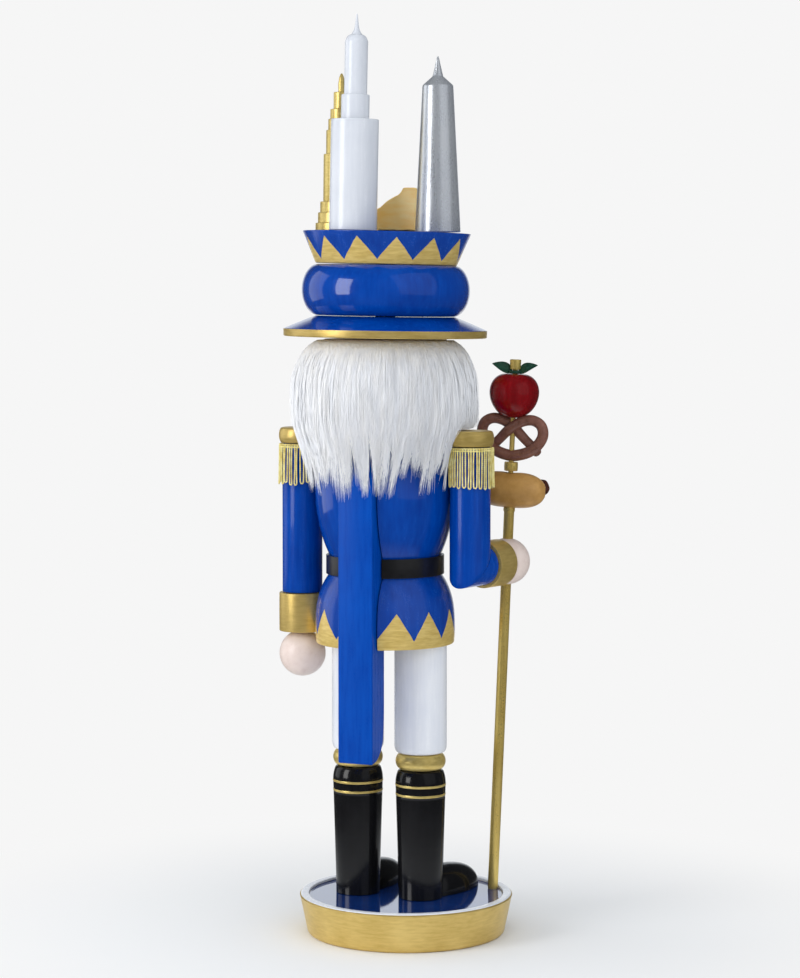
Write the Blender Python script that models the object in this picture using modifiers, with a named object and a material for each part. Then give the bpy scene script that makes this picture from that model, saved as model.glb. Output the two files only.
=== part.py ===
"""Nutcracker figure: a turned and painted wooden soldier on a round base, with a jaw lever down its back.

Metres, +Z up. The figure faces -Y, its own left is +X. The origin is the centre of the base's underside.
Every level is stacked from the floor of the base, so a longer boot or torso lifts what stands on it.
"""
import math

import bmesh
import bpy
from mathutils import Matrix, Vector

# ---- fits -------------------------------------------------------------------------------------------
GAP = 0.0003                 # between pieces that are glued, pinned or seated on each other
SLOT_GAP = 0.0007            # each side of the jaw lever in its slot
PIN_R = 0.0020               # glued dowels
OVERCUT = 0.004              # how far a cutter runs past the face that it opens

# ---- base -------------------------------------------------------------------------------------------
BASE_HEIGHT = 0.0200
BASE_TOP_R = 0.0537
BASE_FOOT_R = 0.0496
BASE_RIM = 0.0045            # width of the white rim
BASE_RECESS = 0.0015         # the floor lies this far below the rim
BASE_EDGE = 0.0012           # rounding of the rim
PIN_DEPTH = 0.0100           # how deep a dowel goes into wood

# ---- legs -------------------------------------------------------------------------------------------
FIGURE_X = 0.0095            # the figure stands off centre, to leave room for the staff
FIGURE_Y = 0.0044
LEG_SPREAD = 0.0171          # from the middle between the legs to a leg's axis
LEG_SHIFT = (-0.0018, -0.0008)               # the legs stand a little to one side under the coat
BOOT_HEIGHT = 0.0645
BOOT_TOP_R = 0.0112
BOOT_CALF_R = 0.0126
BOOT_ANKLE_R = 0.0111
BOOT_CALF_DROP = 0.0068      # from the boot's top to its widest ring
BOOT_LINE_DROPS = (0.0070, 0.0119)
BOOT_LINE_DEPTH = 0.0003
BOOT_LINE_WIDTH = 0.0009
TOE_LENGTH = 0.0455          # from the leg's axis to the toe's tip
TOE_HALF_WIDTH = {"left": 0.0105, "right": 0.0113}
TOE_HEIGHT = {"left": 0.0112, "right": 0.0122}
TOE_TURN = {"left": -2.5, "right": -14.0}    # degrees about +Z, from straight ahead
RING_HEIGHT = 0.0080
RING_R = 0.0126
RING_NECK_R = 0.0098
TROUSER_LENGTH = 0.0543
TROUSER_R = 0.0132
TROUSER_END_R = 0.0115

# ---- coat -------------------------------------------------------------------------------------------
SKIRT_HEIGHT = 0.0395
SKIRT_R = 0.0351
SKIRT_HEM_R = 0.0348
SKIRT_WIDE = 0.0060          # the widest ring is this far above the hem
WAIST_R = 0.0283
BELT_WIDTH = 0.0096
BELT_THICK = 0.0013
TORSO_HEIGHT = 0.0700
TORSO_R = 0.0352
TORSO_WIDE = 0.0385          # height of the widest ring above the torso's foot
TORSO_TOP_R = 0.0258
BUCKLE_WIDTH = 0.0150
BUCKLE_BAR = 0.0022
BUCKLE_THICK = 0.0012
BUTTON_R = 0.0023
BUTTON_COUNT = 5
BUTTON_PITCH = 0.0098
BRAID_THICK = 0.0008

# ---- jaw lever --------------------------------------------------------------------------------------
LEVER_WIDTH = 0.0183
LEVER_THICK = 0.0156
LEVER_BACK = 0.0384          # back face, behind the figure's axis
LEVER_FOOT = 0.0904          # level of its lower end
LEVER_BEND_DROP = 0.0250     # from the torso's top to where its back face turns inward
LEVER_TOE_R = 0.0150         # rounding of the lower front corner
LEVER_PIN_R = 0.0020
PIVOT_Y = 0.0040
PIVOT_RISE = 0.0052          # of the pivot above the torso's top
SLOT_FLOOR_DROP = 0.0148     # from the torso's top to the floor of the slot under the jaw
JAW_HEIGHT = 0.0155
JAW_REACH = 0.0330           # the chin's front, from the figure's axis
JAW_DEPTH = 0.0090
JAW_OPEN = 15.0              # degrees that the jaw opens
TEETH_HEIGHT = 0.0042
TEETH_THICK = 0.0008

# ---- head -------------------------------------------------------------------------------------------
HEAD_HEIGHT = 0.0426
HEAD_R = 0.0310
HEAD_ROUND = 0.0060
NECK_PIN_X = 0.0178
NECK_PIN_Y = -0.0040
MOUTH_RISE = 0.0119          # the slot's ceiling above the head's foot
NOSE_R = 0.0042
NOSE_RISE = 0.0277
MOUSTACHE_RISE = 0.0176
MOUSTACHE_HALF = 0.0140
HAIR_R = 0.0460
HAIR_TOP_R = 0.0352
HAIR_FACE_Y = -0.0120        # the wig ends this far in front of the axis
NAPE_DROP = 0.0220           # the wig hangs this far below the head
NAPE_R = 0.0405
NAPE_HALF = 0.0290
BEARD_HALF = 0.0160
BEARD_DROP = 0.0150
BEARD_THICK = 0.0110

# ---- arms -------------------------------------------------------------------------------------------
ARM_R = 0.0102
SHOULDER_DROP = 0.0105       # from the torso's top to the sleeve's top
SLEEVE_LENGTH = 0.0756
PEG_DROP = 0.0200            # from the torso's top to the shoulder pegs
CUFF_R = 0.0118
CUFF_LENGTH = {"left": 0.0196, "right": 0.0147}
HAND_R = 0.0118
HAND_SINK = {"left": 0.0006, "right": 0.0039}
SPIGOT_LENGTH = 0.0060       # of the hand's spigot inside the sleeve
ELBOW_DROP = 0.0595          # from the sleeve's top to the elbow
CAP_R = 0.0120
CAP_HEIGHT = 0.0079
FRINGE_LENGTH = 0.0213
FRINGE_THICK = 0.0017
FRINGE_OPEN = 62.0           # half angle left open towards the coat, in degrees

# ---- staff ------------------------------------------------------------------------------------------
STAFF_X = -0.0360
STAFF_Y = -0.0288
STAFF_LEAN = 2.55            # degrees, outward
STAFF_R = 0.0026
TENON_R = 0.0013             # the staff is turned down where it carries the toppers
BUN_CENTRE = 0.2044          # distances along the staff, from the floor
BUN_HALF = 0.0186
BUN_R = 0.0092
SAUSAGE_R = 0.0042
SAUSAGE_HALF = 0.0205
SPACER_R = 0.0034
SPACER_LENGTH = 0.0046
PRETZEL_HALF = 0.0163        # half width of the dough's centre line
PRETZEL_RISE = 0.0094        # half height of the same line
DOUGH_R = 0.0029
APPLE_R = 0.0125
APPLE_HEIGHT = 0.0232
STEM_R = 0.0029
STEM_LENGTH = 0.0052
LEAF_LENGTH = 0.0098
LEAF_HALF = 0.0029
LEAF_ROOT_HALF = 0.0012
LEAF_THICK = 0.0009
LEAF_RISE = 24.0             # degrees above level
LEAF_ANGLES = (10.0, 190.0)  # degrees about the staff
COLLAR_HEIGHT = 0.0016

# ---- hat --------------------------------------------------------------------------------------------
BRIM_R = 0.0511
BRIM_EDGE = 0.0038           # height of the gold edge
BRIM_HEIGHT = 0.0104
ROLL_HEIGHT = 0.0254
ROLL_R = 0.0422
ROLL_NECK_R = 0.0350
CROWN_HEIGHT = 0.0160
CROWN_TOP_R = 0.0422
CROWN_FOOT_R = 0.0354
HAT_DOWEL_R = 0.0050
HAT_TILT = -0.8              # degrees that the hat sits askew, about a level line to its back left
HAT_TILT_TURN = 22.5         # of that line, from straight back
HAT_LIFT = 0.0006            # what its lower side needs over the head
# Each tower: place on the crown, then (radius, height) of each step from the foot up.
WHITE_TOWER_AT = (0.0068, 0.0272)
WHITE_STEPS = ((0.0118, 0.0553), (0.0070, 0.0118), (0.0057, 0.0250))
GOLD_TOWER_AT = (0.0262, -0.0055)
GOLD_STEPS = ((0.0125, 0.0055), (0.0113, 0.0053), (0.0102, 0.0055), (0.0087, 0.0240),
              (0.0075, 0.0121), (0.0065, 0.0056), (0.0055, 0.0050), (0.0039, 0.0086))
SILVER_TOWER_AT = (-0.0258, -0.0045)
SILVER_FOOT_R = 0.0114
SILVER_TOP_R = 0.0077
SILVER_HEIGHT = 0.0738
PLATE_Y = -0.0300            # the cut-out plate stands near the front of the crown
PLATE_HALF = 0.0205
PLATE_HEIGHT = 0.0213
PLATE_THICK = 0.0030
PLATE_FOOT = 0.0012

# ---- facets -----------------------------------------------------------------------------------------
ROUND = 26                   # sides of the large turned pieces
SMALL_ROUND = 18             # sides of the small ones
PIN_ROUND = 12

# ---- levels, from the floor up ----------------------------------------------------------------------
FLOOR_Z = BASE_HEIGHT - BASE_RECESS
BOOT_Z = FLOOR_Z + GAP
RING_Z = BOOT_Z + BOOT_HEIGHT + GAP
TROUSER_Z = RING_Z + RING_HEIGHT + GAP
SKIRT_Z = TROUSER_Z + TROUSER_LENGTH + GAP
TORSO_Z = SKIRT_Z + SKIRT_HEIGHT + GAP
TORSO_TOP_Z = TORSO_Z + TORSO_HEIGHT
HEAD_Z = TORSO_TOP_Z + GAP
HEAD_TOP_Z = HEAD_Z + HEAD_HEIGHT
BRIM_Z = HEAD_TOP_Z + GAP + HAT_LIFT
ROLL_Z = BRIM_Z + BRIM_HEIGHT + GAP
CROWN_Z = ROLL_Z + ROLL_HEIGHT + GAP
TOWER_Z = CROWN_Z + CROWN_HEIGHT + GAP

PIVOT_Z = TORSO_TOP_Z + PIVOT_RISE
SLEEVE_TOP_Z = TORSO_TOP_Z - SHOULDER_DROP
PEG_Z = TORSO_TOP_Z - PEG_DROP
ELBOW_Z = SLEEVE_TOP_Z - ELBOW_DROP
ARM_X = TORSO_R + GAP + ARM_R
SLOT_HALF = LEVER_WIDTH / 2 + SLOT_GAP
LEVER_FRONT = LEVER_BACK - LEVER_THICK
JAW_TOP_Z = HEAD_Z + MOUTH_RISE - 0.0010
JAW_FOOT_Z = JAW_TOP_Z - JAW_HEIGHT

SIDES = {"left": 1, "right": -1}


# ---- scene, materials and helpers -------------------------------------------------------------------
def clear_scene():
    for obj in list(bpy.data.objects):
        bpy.data.objects.remove(obj, do_unlink=True)


def new_collection(name):
    collection = bpy.data.collections.new(name)
    bpy.context.scene.collection.children.link(collection)
    return collection


def paint(name, colour, roughness, metallic=0.0):
    material = bpy.data.materials.new(name)
    material.use_nodes = True
    shader = material.node_tree.nodes["Principled BSDF"]
    shader.inputs["Base Color"].default_value = (*colour, 1.0)
    shader.inputs["Roughness"].default_value = roughness
    shader.inputs["Metallic"].default_value = metallic
    return material


clear_scene()
PARTS = new_collection("nutcracker")
CUTTERS = new_collection("cutters")

BLUE = paint("blue_gloss", (0.006, 0.060, 0.33), 0.22)
WHITE = paint("white_gloss", (0.80, 0.81, 0.86), 0.25)
BLACK = paint("black_gloss", (0.012, 0.012, 0.014), 0.18)
GOLD = paint("gold_paint", (0.55, 0.40, 0.13), 0.38, 0.85)
SILVER = paint("silver_paint", (0.62, 0.65, 0.70), 0.36, 0.85)
SKIN = paint("skin", (0.78, 0.60, 0.52), 0.35)
FUR = paint("white_fur", (0.85, 0.86, 0.90), 0.90)
BELT = paint("belt_black", (0.020, 0.020, 0.022), 0.45)
CORD = paint("gold_cord", (0.72, 0.58, 0.18), 0.40, 0.75)
RED = paint("apple_red", (0.30, 0.008, 0.012), 0.22)
GREEN = paint("leaf_green", (0.016, 0.070, 0.038), 0.40)
BROWN = paint("pretzel_brown", (0.105, 0.040, 0.030), 0.28)
BUN = paint("bun_tan", (0.38, 0.20, 0.065), 0.38)
SAUSAGE = paint("sausage_brown", (0.12, 0.030, 0.015), 0.30)
AMBER = paint("amber_wood", (0.62, 0.36, 0.08), 0.35)
WOOD = paint("dowel_wood", (0.62, 0.46, 0.28), 0.60)
STEEL = paint("pin_steel", (0.55, 0.56, 0.58), 0.35, 0.9)


def empty(name, place, turn=(0.0, 0.0, 0.0), parent=None):
    """An empty that carries pieces: a place and a turn that they share."""
    holder = bpy.data.objects.new(name, None)
    holder.location = place
    holder.rotation_euler = turn
    holder.parent = parent
    PARTS.objects.link(holder)
    return holder


def add_object(name, data, material, parent=None, place=(0, 0, 0), turn=(0, 0, 0), cutter=False):
    obj = bpy.data.objects.new(name, data)
    obj.location = place
    obj.rotation_euler = turn
    obj.parent = parent
    (CUTTERS if cutter else PARTS).objects.link(obj)
    if material:
        data.materials.append(material)
    if cutter:
        obj.hide_render = True
        obj.display_type = "WIRE"
    return obj


def smooth(obj, angle=35.0):
    obj.data.shade_smooth()
    obj.data.set_sharp_from_angle(angle=math.radians(angle))


def turned(name, profile, material, parent=None, place=(0, 0, 0), sides=ROUND, bore=0.0, cutter=False):
    """A lathe piece. profile lists (radius, height) from the top down; bore is a hole's radius."""
    inner_top = (bore, profile[0][1])
    inner_foot = (bore, profile[-1][1])
    points = [inner_top, *profile, inner_foot]
    mesh = bpy.data.meshes.new(name)
    edges = [(i, i + 1) for i in range(len(points) - 1)]
    if bore:
        edges.append((len(points) - 1, 0))
    mesh.from_pydata([(r, 0.0, z) for r, z in points], edges, [])
    obj = add_object(name, mesh, material, parent, place, cutter=cutter)
    screw = obj.modifiers.new("turn", "SCREW")
    screw.axis = "Z"
    screw.angle = math.tau
    screw.steps = screw.render_steps = sides
    screw.use_merge_vertices = True
    screw.merge_threshold = 0.00001
    screw.use_smooth_shade = True
    return obj


def rod(name, radius, start, end, material, parent=None, sides=PIN_ROUND, cutter=False):
    """A round rod between two points, as a capped cylinder."""
    start, end = Vector(start), Vector(end)
    axis = end - start
    mesh = bpy.data.meshes.new(name)
    bm = bmesh.new()
    bmesh.ops.create_cone(bm, cap_ends=True, segments=sides, radius1=radius, radius2=radius, depth=axis.length)
    bm.to_mesh(mesh)
    bm.free()
    obj = add_object(name, mesh, material, parent, cutter=cutter)
    obj.location = (start + end) / 2
    obj.rotation_mode = "QUATERNION"
    obj.rotation_quaternion = axis.to_track_quat("Z", "Y")
    return obj


def box(name, low, high, material=None, parent=None, cutter=False):
    low, high = Vector(low), Vector(high)
    mesh = bpy.data.meshes.new(name)
    bm = bmesh.new()
    bmesh.ops.create_cube(bm, size=1.0)
    bmesh.ops.scale(bm, vec=high - low, verts=bm.verts)
    bm.to_mesh(mesh)
    bm.free()
    return add_object(name, mesh, material, parent, (low + high) / 2, cutter=cutter)


def ball(name, radius, material, parent=None, place=(0, 0, 0), sides=SMALL_ROUND, squash=1.0):
    mesh = bpy.data.meshes.new(name)
    bm = bmesh.new()
    bmesh.ops.create_uvsphere(bm, u_segments=sides, v_segments=sides // 2, radius=radius)
    bmesh.ops.scale(bm, vec=(1.0, 1.0, squash), verts=bm.verts)
    bm.to_mesh(mesh)
    bm.free()
    obj = add_object(name, mesh, material, parent, place)
    smooth(obj, 60)
    return obj


def as_mesh(curve_object):
    """The evaluated curve as a welded mesh object in the same place, so that it can be cut."""
    bpy.context.view_layer.update()
    graph = bpy.context.evaluated_depsgraph_get()
    mesh = bpy.data.meshes.new_from_object(curve_object.evaluated_get(graph))
    bm = bmesh.new()
    bm.from_mesh(mesh)
    bmesh.ops.remove_doubles(bm, verts=bm.verts, dist=0.00001)
    bmesh.ops.recalc_face_normals(bm, faces=bm.faces)
    bm.to_mesh(mesh)
    bm.free()
    name, parent = curve_object.name, curve_object.parent
    place, turn = curve_object.location.copy(), curve_object.rotation_euler.copy()
    collection = curve_object.users_collection[0]
    bpy.data.objects.remove(curve_object)
    made = bpy.data.objects.new(name, mesh)
    made.location, made.rotation_euler, made.parent = place, turn, parent
    collection.objects.link(made)
    if collection == CUTTERS:
        made.hide_render = True
        made.display_type = "WIRE"
    return made


def plate(name, outline, thickness, material, parent=None, place=(0, 0, 0), turn=(0, 0, 0), cutter=False):
    """A flat piece from a closed outline in its own XY plane, thickness centred on the plane."""
    curve = bpy.data.curves.new(name, "CURVE")
    curve.dimensions = "2D"
    curve.fill_mode = "BOTH"
    curve.extrude = thickness / 2
    spline = curve.splines.new("POLY")
    spline.points.add(len(outline) - 1)
    for point, (x, y) in zip(spline.points, outline):
        point.co = (x, y, 0.0, 1.0)
    spline.use_cyclic_u = True
    return as_mesh(add_object(name, curve, material, parent, place, turn, cutter))


def cut(target, cutter, operation="DIFFERENCE"):
    modifier = target.modifiers.new(cutter.name, "BOOLEAN")
    modifier.operation = operation
    modifier.solver = "EXACT"
    modifier.object = cutter
    return target


def drill(target, radius, start, end, parent=None):
    """A round hole with a pin's clearance from start to end, which are points under parent."""
    number = len(CUTTERS.objects)
    return cut(target, rod(f"drill_{number}", radius + GAP, start, end, None, parent, cutter=True))


def soften(obj, width, segments=2):
    bevel = obj.modifiers.new("soften", "BEVEL")
    bevel.width = width
    bevel.segments = segments
    bevel.limit_method = "ANGLE"
    bevel.angle_limit = math.radians(40)
    return obj


def arc(centre, radius, start, end, count):
    """count points on an arc, angles in degrees."""
    angles = [math.radians(start + (end - start) * i / (count - 1)) for i in range(count)]
    return [(centre[0] + radius * math.cos(a), centre[1] + radius * math.sin(a)) for a in angles]


def flank(wide, end, power, count):
    """Points from the widest ring to an end ring: the radius falls off with a power of the way along."""
    points = []
    for i in range(count):
        u = i / (count - 1)
        points.append((wide[0] - (wide[0] - end[0]) * u**power, wide[1] + (end[1] - wide[1]) * u))
    return points


# ---- pieces -----------------------------------------------------------------------------------------
def make_base(figure, staff):
    """The turned base: a flaring side, a rounded rim and a shallow recessed floor."""
    floor_r = BASE_TOP_R - BASE_RIM
    rim = arc((BASE_TOP_R - BASE_EDGE, BASE_HEIGHT - BASE_EDGE), BASE_EDGE, 90, 0, 3)
    profile = [(floor_r, FLOOR_Z), (floor_r, BASE_HEIGHT), *rim, (BASE_FOOT_R, 0.0006), (BASE_FOOT_R - 0.0006, 0.0)]
    base = turned("base_disc", profile, GOLD, sides=ROUND + 6)
    for side in SIDES.values():
        x, y = LEG_SHIFT[0] + side * LEG_SPREAD, LEG_SHIFT[1]
        drill(base, PIN_R, (x, y, FLOOR_Z - PIN_DEPTH - GAP), (x, y, FLOOR_Z + OVERCUT), figure)
    drill(base, STAFF_R, (0, 0, -PIN_DEPTH - GAP), (0, 0, OVERCUT), staff)


def boot_profile():
    """The boot from the top down, with two shallow grooves for the gold lines."""
    calf_z = BOOT_HEIGHT - BOOT_CALF_DROP
    points = [(r, z) for r, z in flank((BOOT_CALF_R, calf_z), (BOOT_TOP_R, BOOT_HEIGHT), 2.0, 4)][::-1]
    slope = (BOOT_CALF_R - BOOT_ANKLE_R) / calf_z
    for drop in BOOT_LINE_DROPS:
        top, foot = BOOT_HEIGHT - drop, BOOT_HEIGHT - drop - BOOT_LINE_WIDTH
        outer = BOOT_ANKLE_R + slope * foot
        points += [(outer, top), (outer - BOOT_LINE_DEPTH, top - BOOT_LINE_WIDTH / 2), (outer, foot)]
    return points + [(BOOT_ANKLE_R, 0.0)]


def make_toe(name, side, leg, boot_bore):
    """The shoe's front: a long dome from a coarse cage, cut flat at the sole and hollowed for the boot."""
    mesh = bpy.data.meshes.new(name)
    bm = bmesh.new()
    bmesh.ops.create_uvsphere(bm, u_segments=20, v_segments=12, radius=1.0)
    for vert in bm.verts:
        fullness = abs(vert.co.z) ** 0.75 * (1 if vert.co.z > 0 else -1)
        vert.co = Vector((vert.co.x * TOE_HALF_WIDTH[side], vert.co.y * TOE_LENGTH / 2, fullness * TOE_HEIGHT[side]))
    bm.to_mesh(mesh)
    bm.free()
    turn = math.radians(TOE_TURN[side])
    toe = add_object(name, mesh, BLACK, leg, (0, 0, BOOT_Z), (0, 0, turn))
    middle = Vector((0, -TOE_LENGTH / 2, 0))
    toe.location = Matrix.Rotation(turn, 4, "Z") @ middle + Vector((0, 0, BOOT_Z))
    smooth(toe, 60)
    below = TOE_HEIGHT[side] + OVERCUT
    reach = TOE_LENGTH + OVERCUT
    cut(toe, box(f"{name}_sole_cut", (-reach, -reach, BOOT_Z - below), (reach, reach, BOOT_Z), None, leg, True))
    cut(toe, boot_bore)


def make_leg(side, figure):
    """Boot, toe, knee ring and trouser on one long dowel."""
    leg = empty(f"leg_{side}", (LEG_SHIFT[0] + SIDES[side] * LEG_SPREAD, LEG_SHIFT[1], 0), parent=figure)
    bore = PIN_R + GAP
    turned(f"boot_{side}", boot_profile(), BLACK, leg, (0, 0, BOOT_Z), SMALL_ROUND, bore)
    around = [(r + GAP, z) for r, z in ((BOOT_TOP_R, BOOT_HEIGHT), (BOOT_CALF_R, BOOT_HEIGHT - BOOT_CALF_DROP),
                                        (BOOT_ANKLE_R, -OVERCUT))]
    boot_bore = turned(f"boot_{side}_room", around, None, leg, (0, 0, BOOT_Z), SMALL_ROUND, cutter=True)
    make_toe(f"toe_{side}", side, leg, boot_bore)
    half = RING_HEIGHT / 2
    swell = arc((0.0, half), 1.0, 90, -90, 7)
    ring = [(RING_NECK_R + (RING_R - RING_NECK_R) * x, half + (z - half) * half) for x, z in swell]
    turned(f"knee_ring_{side}", ring, GOLD, leg, (0, 0, RING_Z), SMALL_ROUND, bore)
    foot = flank((TROUSER_R, 0.0045), (TROUSER_END_R, 0.0), 2.0, 4)
    turned(f"trouser_{side}", [(TROUSER_R, TROUSER_LENGTH), *foot], WHITE, leg, (0, 0, TROUSER_Z), SMALL_ROUND, bore)
    rod(f"leg_dowel_{side}", PIN_R, (0, 0, FLOOR_Z - PIN_DEPTH), (0, 0, SKIRT_Z + PIN_DEPTH), WOOD, leg)


def slot_outline():
    """Side view of the slot: under the jaw it is shallow, behind it runs down the whole back."""
    floor_z = TORSO_TOP_Z - SLOT_FLOOR_DROP
    back_y = LEVER_FRONT - SLOT_GAP
    far = HAIR_R + 0.020
    slope_z = floor_z - 0.0185
    return [(-far, floor_z), (PIVOT_Y - 0.002, floor_z), (back_y, slope_z), (back_y, LEVER_FOOT - 0.02),
            (far, LEVER_FOOT - 0.02), (far, HEAD_Z + MOUTH_RISE), (-far, HEAD_Z + MOUTH_RISE)]


def make_slot(figure):
    """The cutter that opens the slot through head, torso, belt and skirt, in one piece."""
    return plate("lever_slot", slot_outline(), 2 * SLOT_HALF, None, figure,
                 turn=(math.pi / 2, 0, math.pi / 2), cutter=True)


def skirt_profile(extra=0.0):
    """The bell of the skirt from the top down, extra metres proud of its surface."""
    side = flank((SKIRT_R, SKIRT_WIDE), (WAIST_R, SKIRT_HEIGHT - BELT_WIDTH / 2), 3.0, 6)
    profile = [(WAIST_R, SKIRT_HEIGHT), *side[::-1], (SKIRT_HEM_R, -extra)]
    return [(r + extra, z) for r, z in profile]


def torso_profile(extra=0.0):
    """The barrel of the torso from the top down, extra metres proud of its surface."""
    upper = flank((TORSO_R, TORSO_WIDE), (TORSO_TOP_R, TORSO_HEIGHT), 2.6, 5)[::-1]
    lower = flank((TORSO_R, TORSO_WIDE), (WAIST_R, BELT_WIDTH / 2), 2.2, 6)[1:]
    return [(r + extra, z) for r, z in [*upper, *lower, (WAIST_R, 0.0)]]


def make_coat(figure, slot):
    """Skirt, torso and belt, slotted at the back for the lever."""
    skirt = turned("coat_skirt", skirt_profile(), BLUE, figure, (0, 0, SKIRT_Z))
    cut(skirt, slot)
    for side in SIDES.values():
        x, y = LEG_SHIFT[0] + side * LEG_SPREAD, LEG_SHIFT[1]
        drill(skirt, PIN_R, (x, y, SKIRT_Z - OVERCUT), (x, y, SKIRT_Z + PIN_DEPTH + GAP), figure)

    torso = turned("torso", torso_profile(), BLUE, figure, (0, 0, TORSO_Z))
    cut(torso, slot)
    low, high = TORSO_Z - PIN_DEPTH, TORSO_Z + PIN_DEPTH
    drill(torso, HAT_DOWEL_R, (0, 0, low), (0, 0, high + GAP), figure)
    drill(skirt, HAT_DOWEL_R, (0, 0, low - GAP), (0, 0, high), figure)
    rod("waist_dowel", HAT_DOWEL_R, (0, 0, low), (0, 0, high), WOOD, figure)

    belt_r = WAIST_R + GAP
    band = [(belt_r + BELT_THICK, BELT_WIDTH), (belt_r + BELT_THICK, 0.0)]
    belt_z = TORSO_Z - GAP / 2 - BELT_WIDTH / 2
    belt = turned("belt", band, BELT, figure, (0, 0, belt_z), bore=belt_r)
    cut(belt, slot)
    return skirt, torso


def make_buckle(figure):
    """A square frame buckle on the front of the belt."""
    outer = WAIST_R + BELT_THICK + 3 * GAP
    half, height = BUCKLE_WIDTH / 2, BELT_WIDTH / 2 + 0.0014
    buckle = box("belt_buckle", (-half, -outer - BUCKLE_THICK, -height), (half, -outer, height), GOLD, figure)
    buckle.location.z = TORSO_Z
    hole = box("buckle_hole", (BUCKLE_BAR - half, -1.5 * outer, BUCKLE_BAR - height),
               (half - BUCKLE_BAR, -outer / 2, height - BUCKLE_BAR), None, figure, True)
    hole.location.z = TORSO_Z
    cut(buckle, hole)
    soften(buckle, 0.0003, 1)


def torso_radius(height):
    """Radius of the torso at a height above its foot, on the same flanks as its profile."""
    if height >= TORSO_WIDE:
        u, end, power = (height - TORSO_WIDE) / (TORSO_HEIGHT - TORSO_WIDE), TORSO_TOP_R, 2.6
    else:
        u, end, power = (TORSO_WIDE - height) / (TORSO_WIDE - BELT_WIDTH / 2), WAIST_R, 2.2
    return TORSO_R - (TORSO_R - end) * u**power


def make_buttons(figure):
    """A narrow gold braid down the chest with one column of domed buttons on it."""
    count = 7
    low, high = 0.0075, 0.0075 + (BUTTON_COUNT - 1) * BUTTON_PITCH + 0.0050
    heights = [low + (high - low) * i / (count - 1) for i in range(count)]
    inner = [(-torso_radius(h) - GAP, h) for h in heights]
    outer = [(y - BRAID_THICK, h) for y, h in inner[::-1]]
    braid = plate("button_braid", inner + outer, 2 * BUTTON_R, GOLD, figure, (0, 0, TORSO_Z),
                  (math.pi / 2, 0, math.pi / 2))
    for i in range(BUTTON_COUNT):
        height = low + 0.0025 + i * BUTTON_PITCH
        button = ball(f"button_{i}", BUTTON_R * 1.15, None, figure,
                      (0, -torso_radius(height) - GAP - BRAID_THICK, TORSO_Z + height), 10, 0.5)
        button.rotation_euler = (math.pi / 2, 0, 0)
        PARTS.objects.unlink(button)
        CUTTERS.objects.link(button)
        button.hide_render = True
        button.display_type = "WIRE"
        cut(braid, button, "UNION")
    behind = turned("coat_room", [(torso_radius(h) + 0.7 * GAP, h) for h in heights[::-1]], None, figure,
                    (0, 0, TORSO_Z), cutter=True)
    cut(braid, behind)


def lever_outline():
    """Side view of the lever, from the jaw's top back over the pivot and down the back."""
    bend_z = TORSO_TOP_Z - LEVER_BEND_DROP
    jaw_back = JAW_DEPTH - JAW_REACH
    toe = arc((LEVER_BACK, LEVER_FOOT + LEVER_TOE_R), LEVER_TOE_R, 250, 180, 6)
    toe = [(y, z) for y, z in toe if y > LEVER_FRONT] + [(LEVER_FRONT, LEVER_FOOT + 1.6 * LEVER_TOE_R)]
    floor_z = TORSO_TOP_Z - SLOT_FLOOR_DROP
    top = [(jaw_back + GAP, JAW_TOP_Z), (PIVOT_Y - 0.002, JAW_TOP_Z), (PIVOT_Y + 0.010, JAW_TOP_Z - 0.0030),
           (LEVER_BACK - 0.0130, JAW_TOP_Z - 0.0105), (LEVER_BACK - 0.0045, JAW_TOP_Z - 0.0215),
           (LEVER_BACK, bend_z), (LEVER_BACK, LEVER_FOOT)]
    under = [(LEVER_FRONT, floor_z - 0.0170), (PIVOT_Y - 0.001, floor_z + 0.0020),
             (jaw_back + 0.0100, floor_z + 0.0065), (jaw_back + GAP, JAW_FOOT_Z + 0.0010)]
    return [*top, *toe, *under]


def make_lever(figure):
    """The lever, its cross pin and the jaw with its teeth. They turn about the pin."""
    lever = plate("jaw_lever", lever_outline(), LEVER_WIDTH, BLUE, figure, turn=(math.pi / 2, 0, math.pi / 2))
    lever.data.materials.append(BLUE)
    reach = HEAD_R
    drill(lever, LEVER_PIN_R, (-reach, PIVOT_Y, PIVOT_Z), (reach, PIVOT_Y, PIVOT_Z), figure)
    half = LEVER_WIDTH / 2
    side_angle = math.degrees(math.asin(half / JAW_REACH))
    chin = arc((0, 0), JAW_REACH, 270 - side_angle, 270 + side_angle, 7)
    back = JAW_DEPTH - JAW_REACH
    jaw = plate("jaw", [*chin, (half, back), (-half, back)], JAW_HEIGHT, SKIN, figure,
                (0, 0, JAW_FOOT_Z + JAW_HEIGHT / 2))
    soften(jaw, 0.0005, 1)
    teeth_strip("lower_teeth", JAW_REACH + GAP, JAW_TOP_Z - TEETH_HEIGHT, half - 0.0010, figure)


def teeth_strip(name, radius, foot_z, half, figure):
    """A thin curved strip of teeth that follows the face or the chin."""
    inner_angle = math.degrees(math.asin(half / radius))
    inner = arc((0, 0), radius, 270 - inner_angle, 270 + inner_angle, 6)
    outer = arc((0, 0), radius + TEETH_THICK, 270 + inner_angle, 270 - inner_angle, 6)
    plate(name, [*inner, *outer], TEETH_HEIGHT, WHITE, figure, (0, 0, foot_z + TEETH_HEIGHT / 2))


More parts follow.
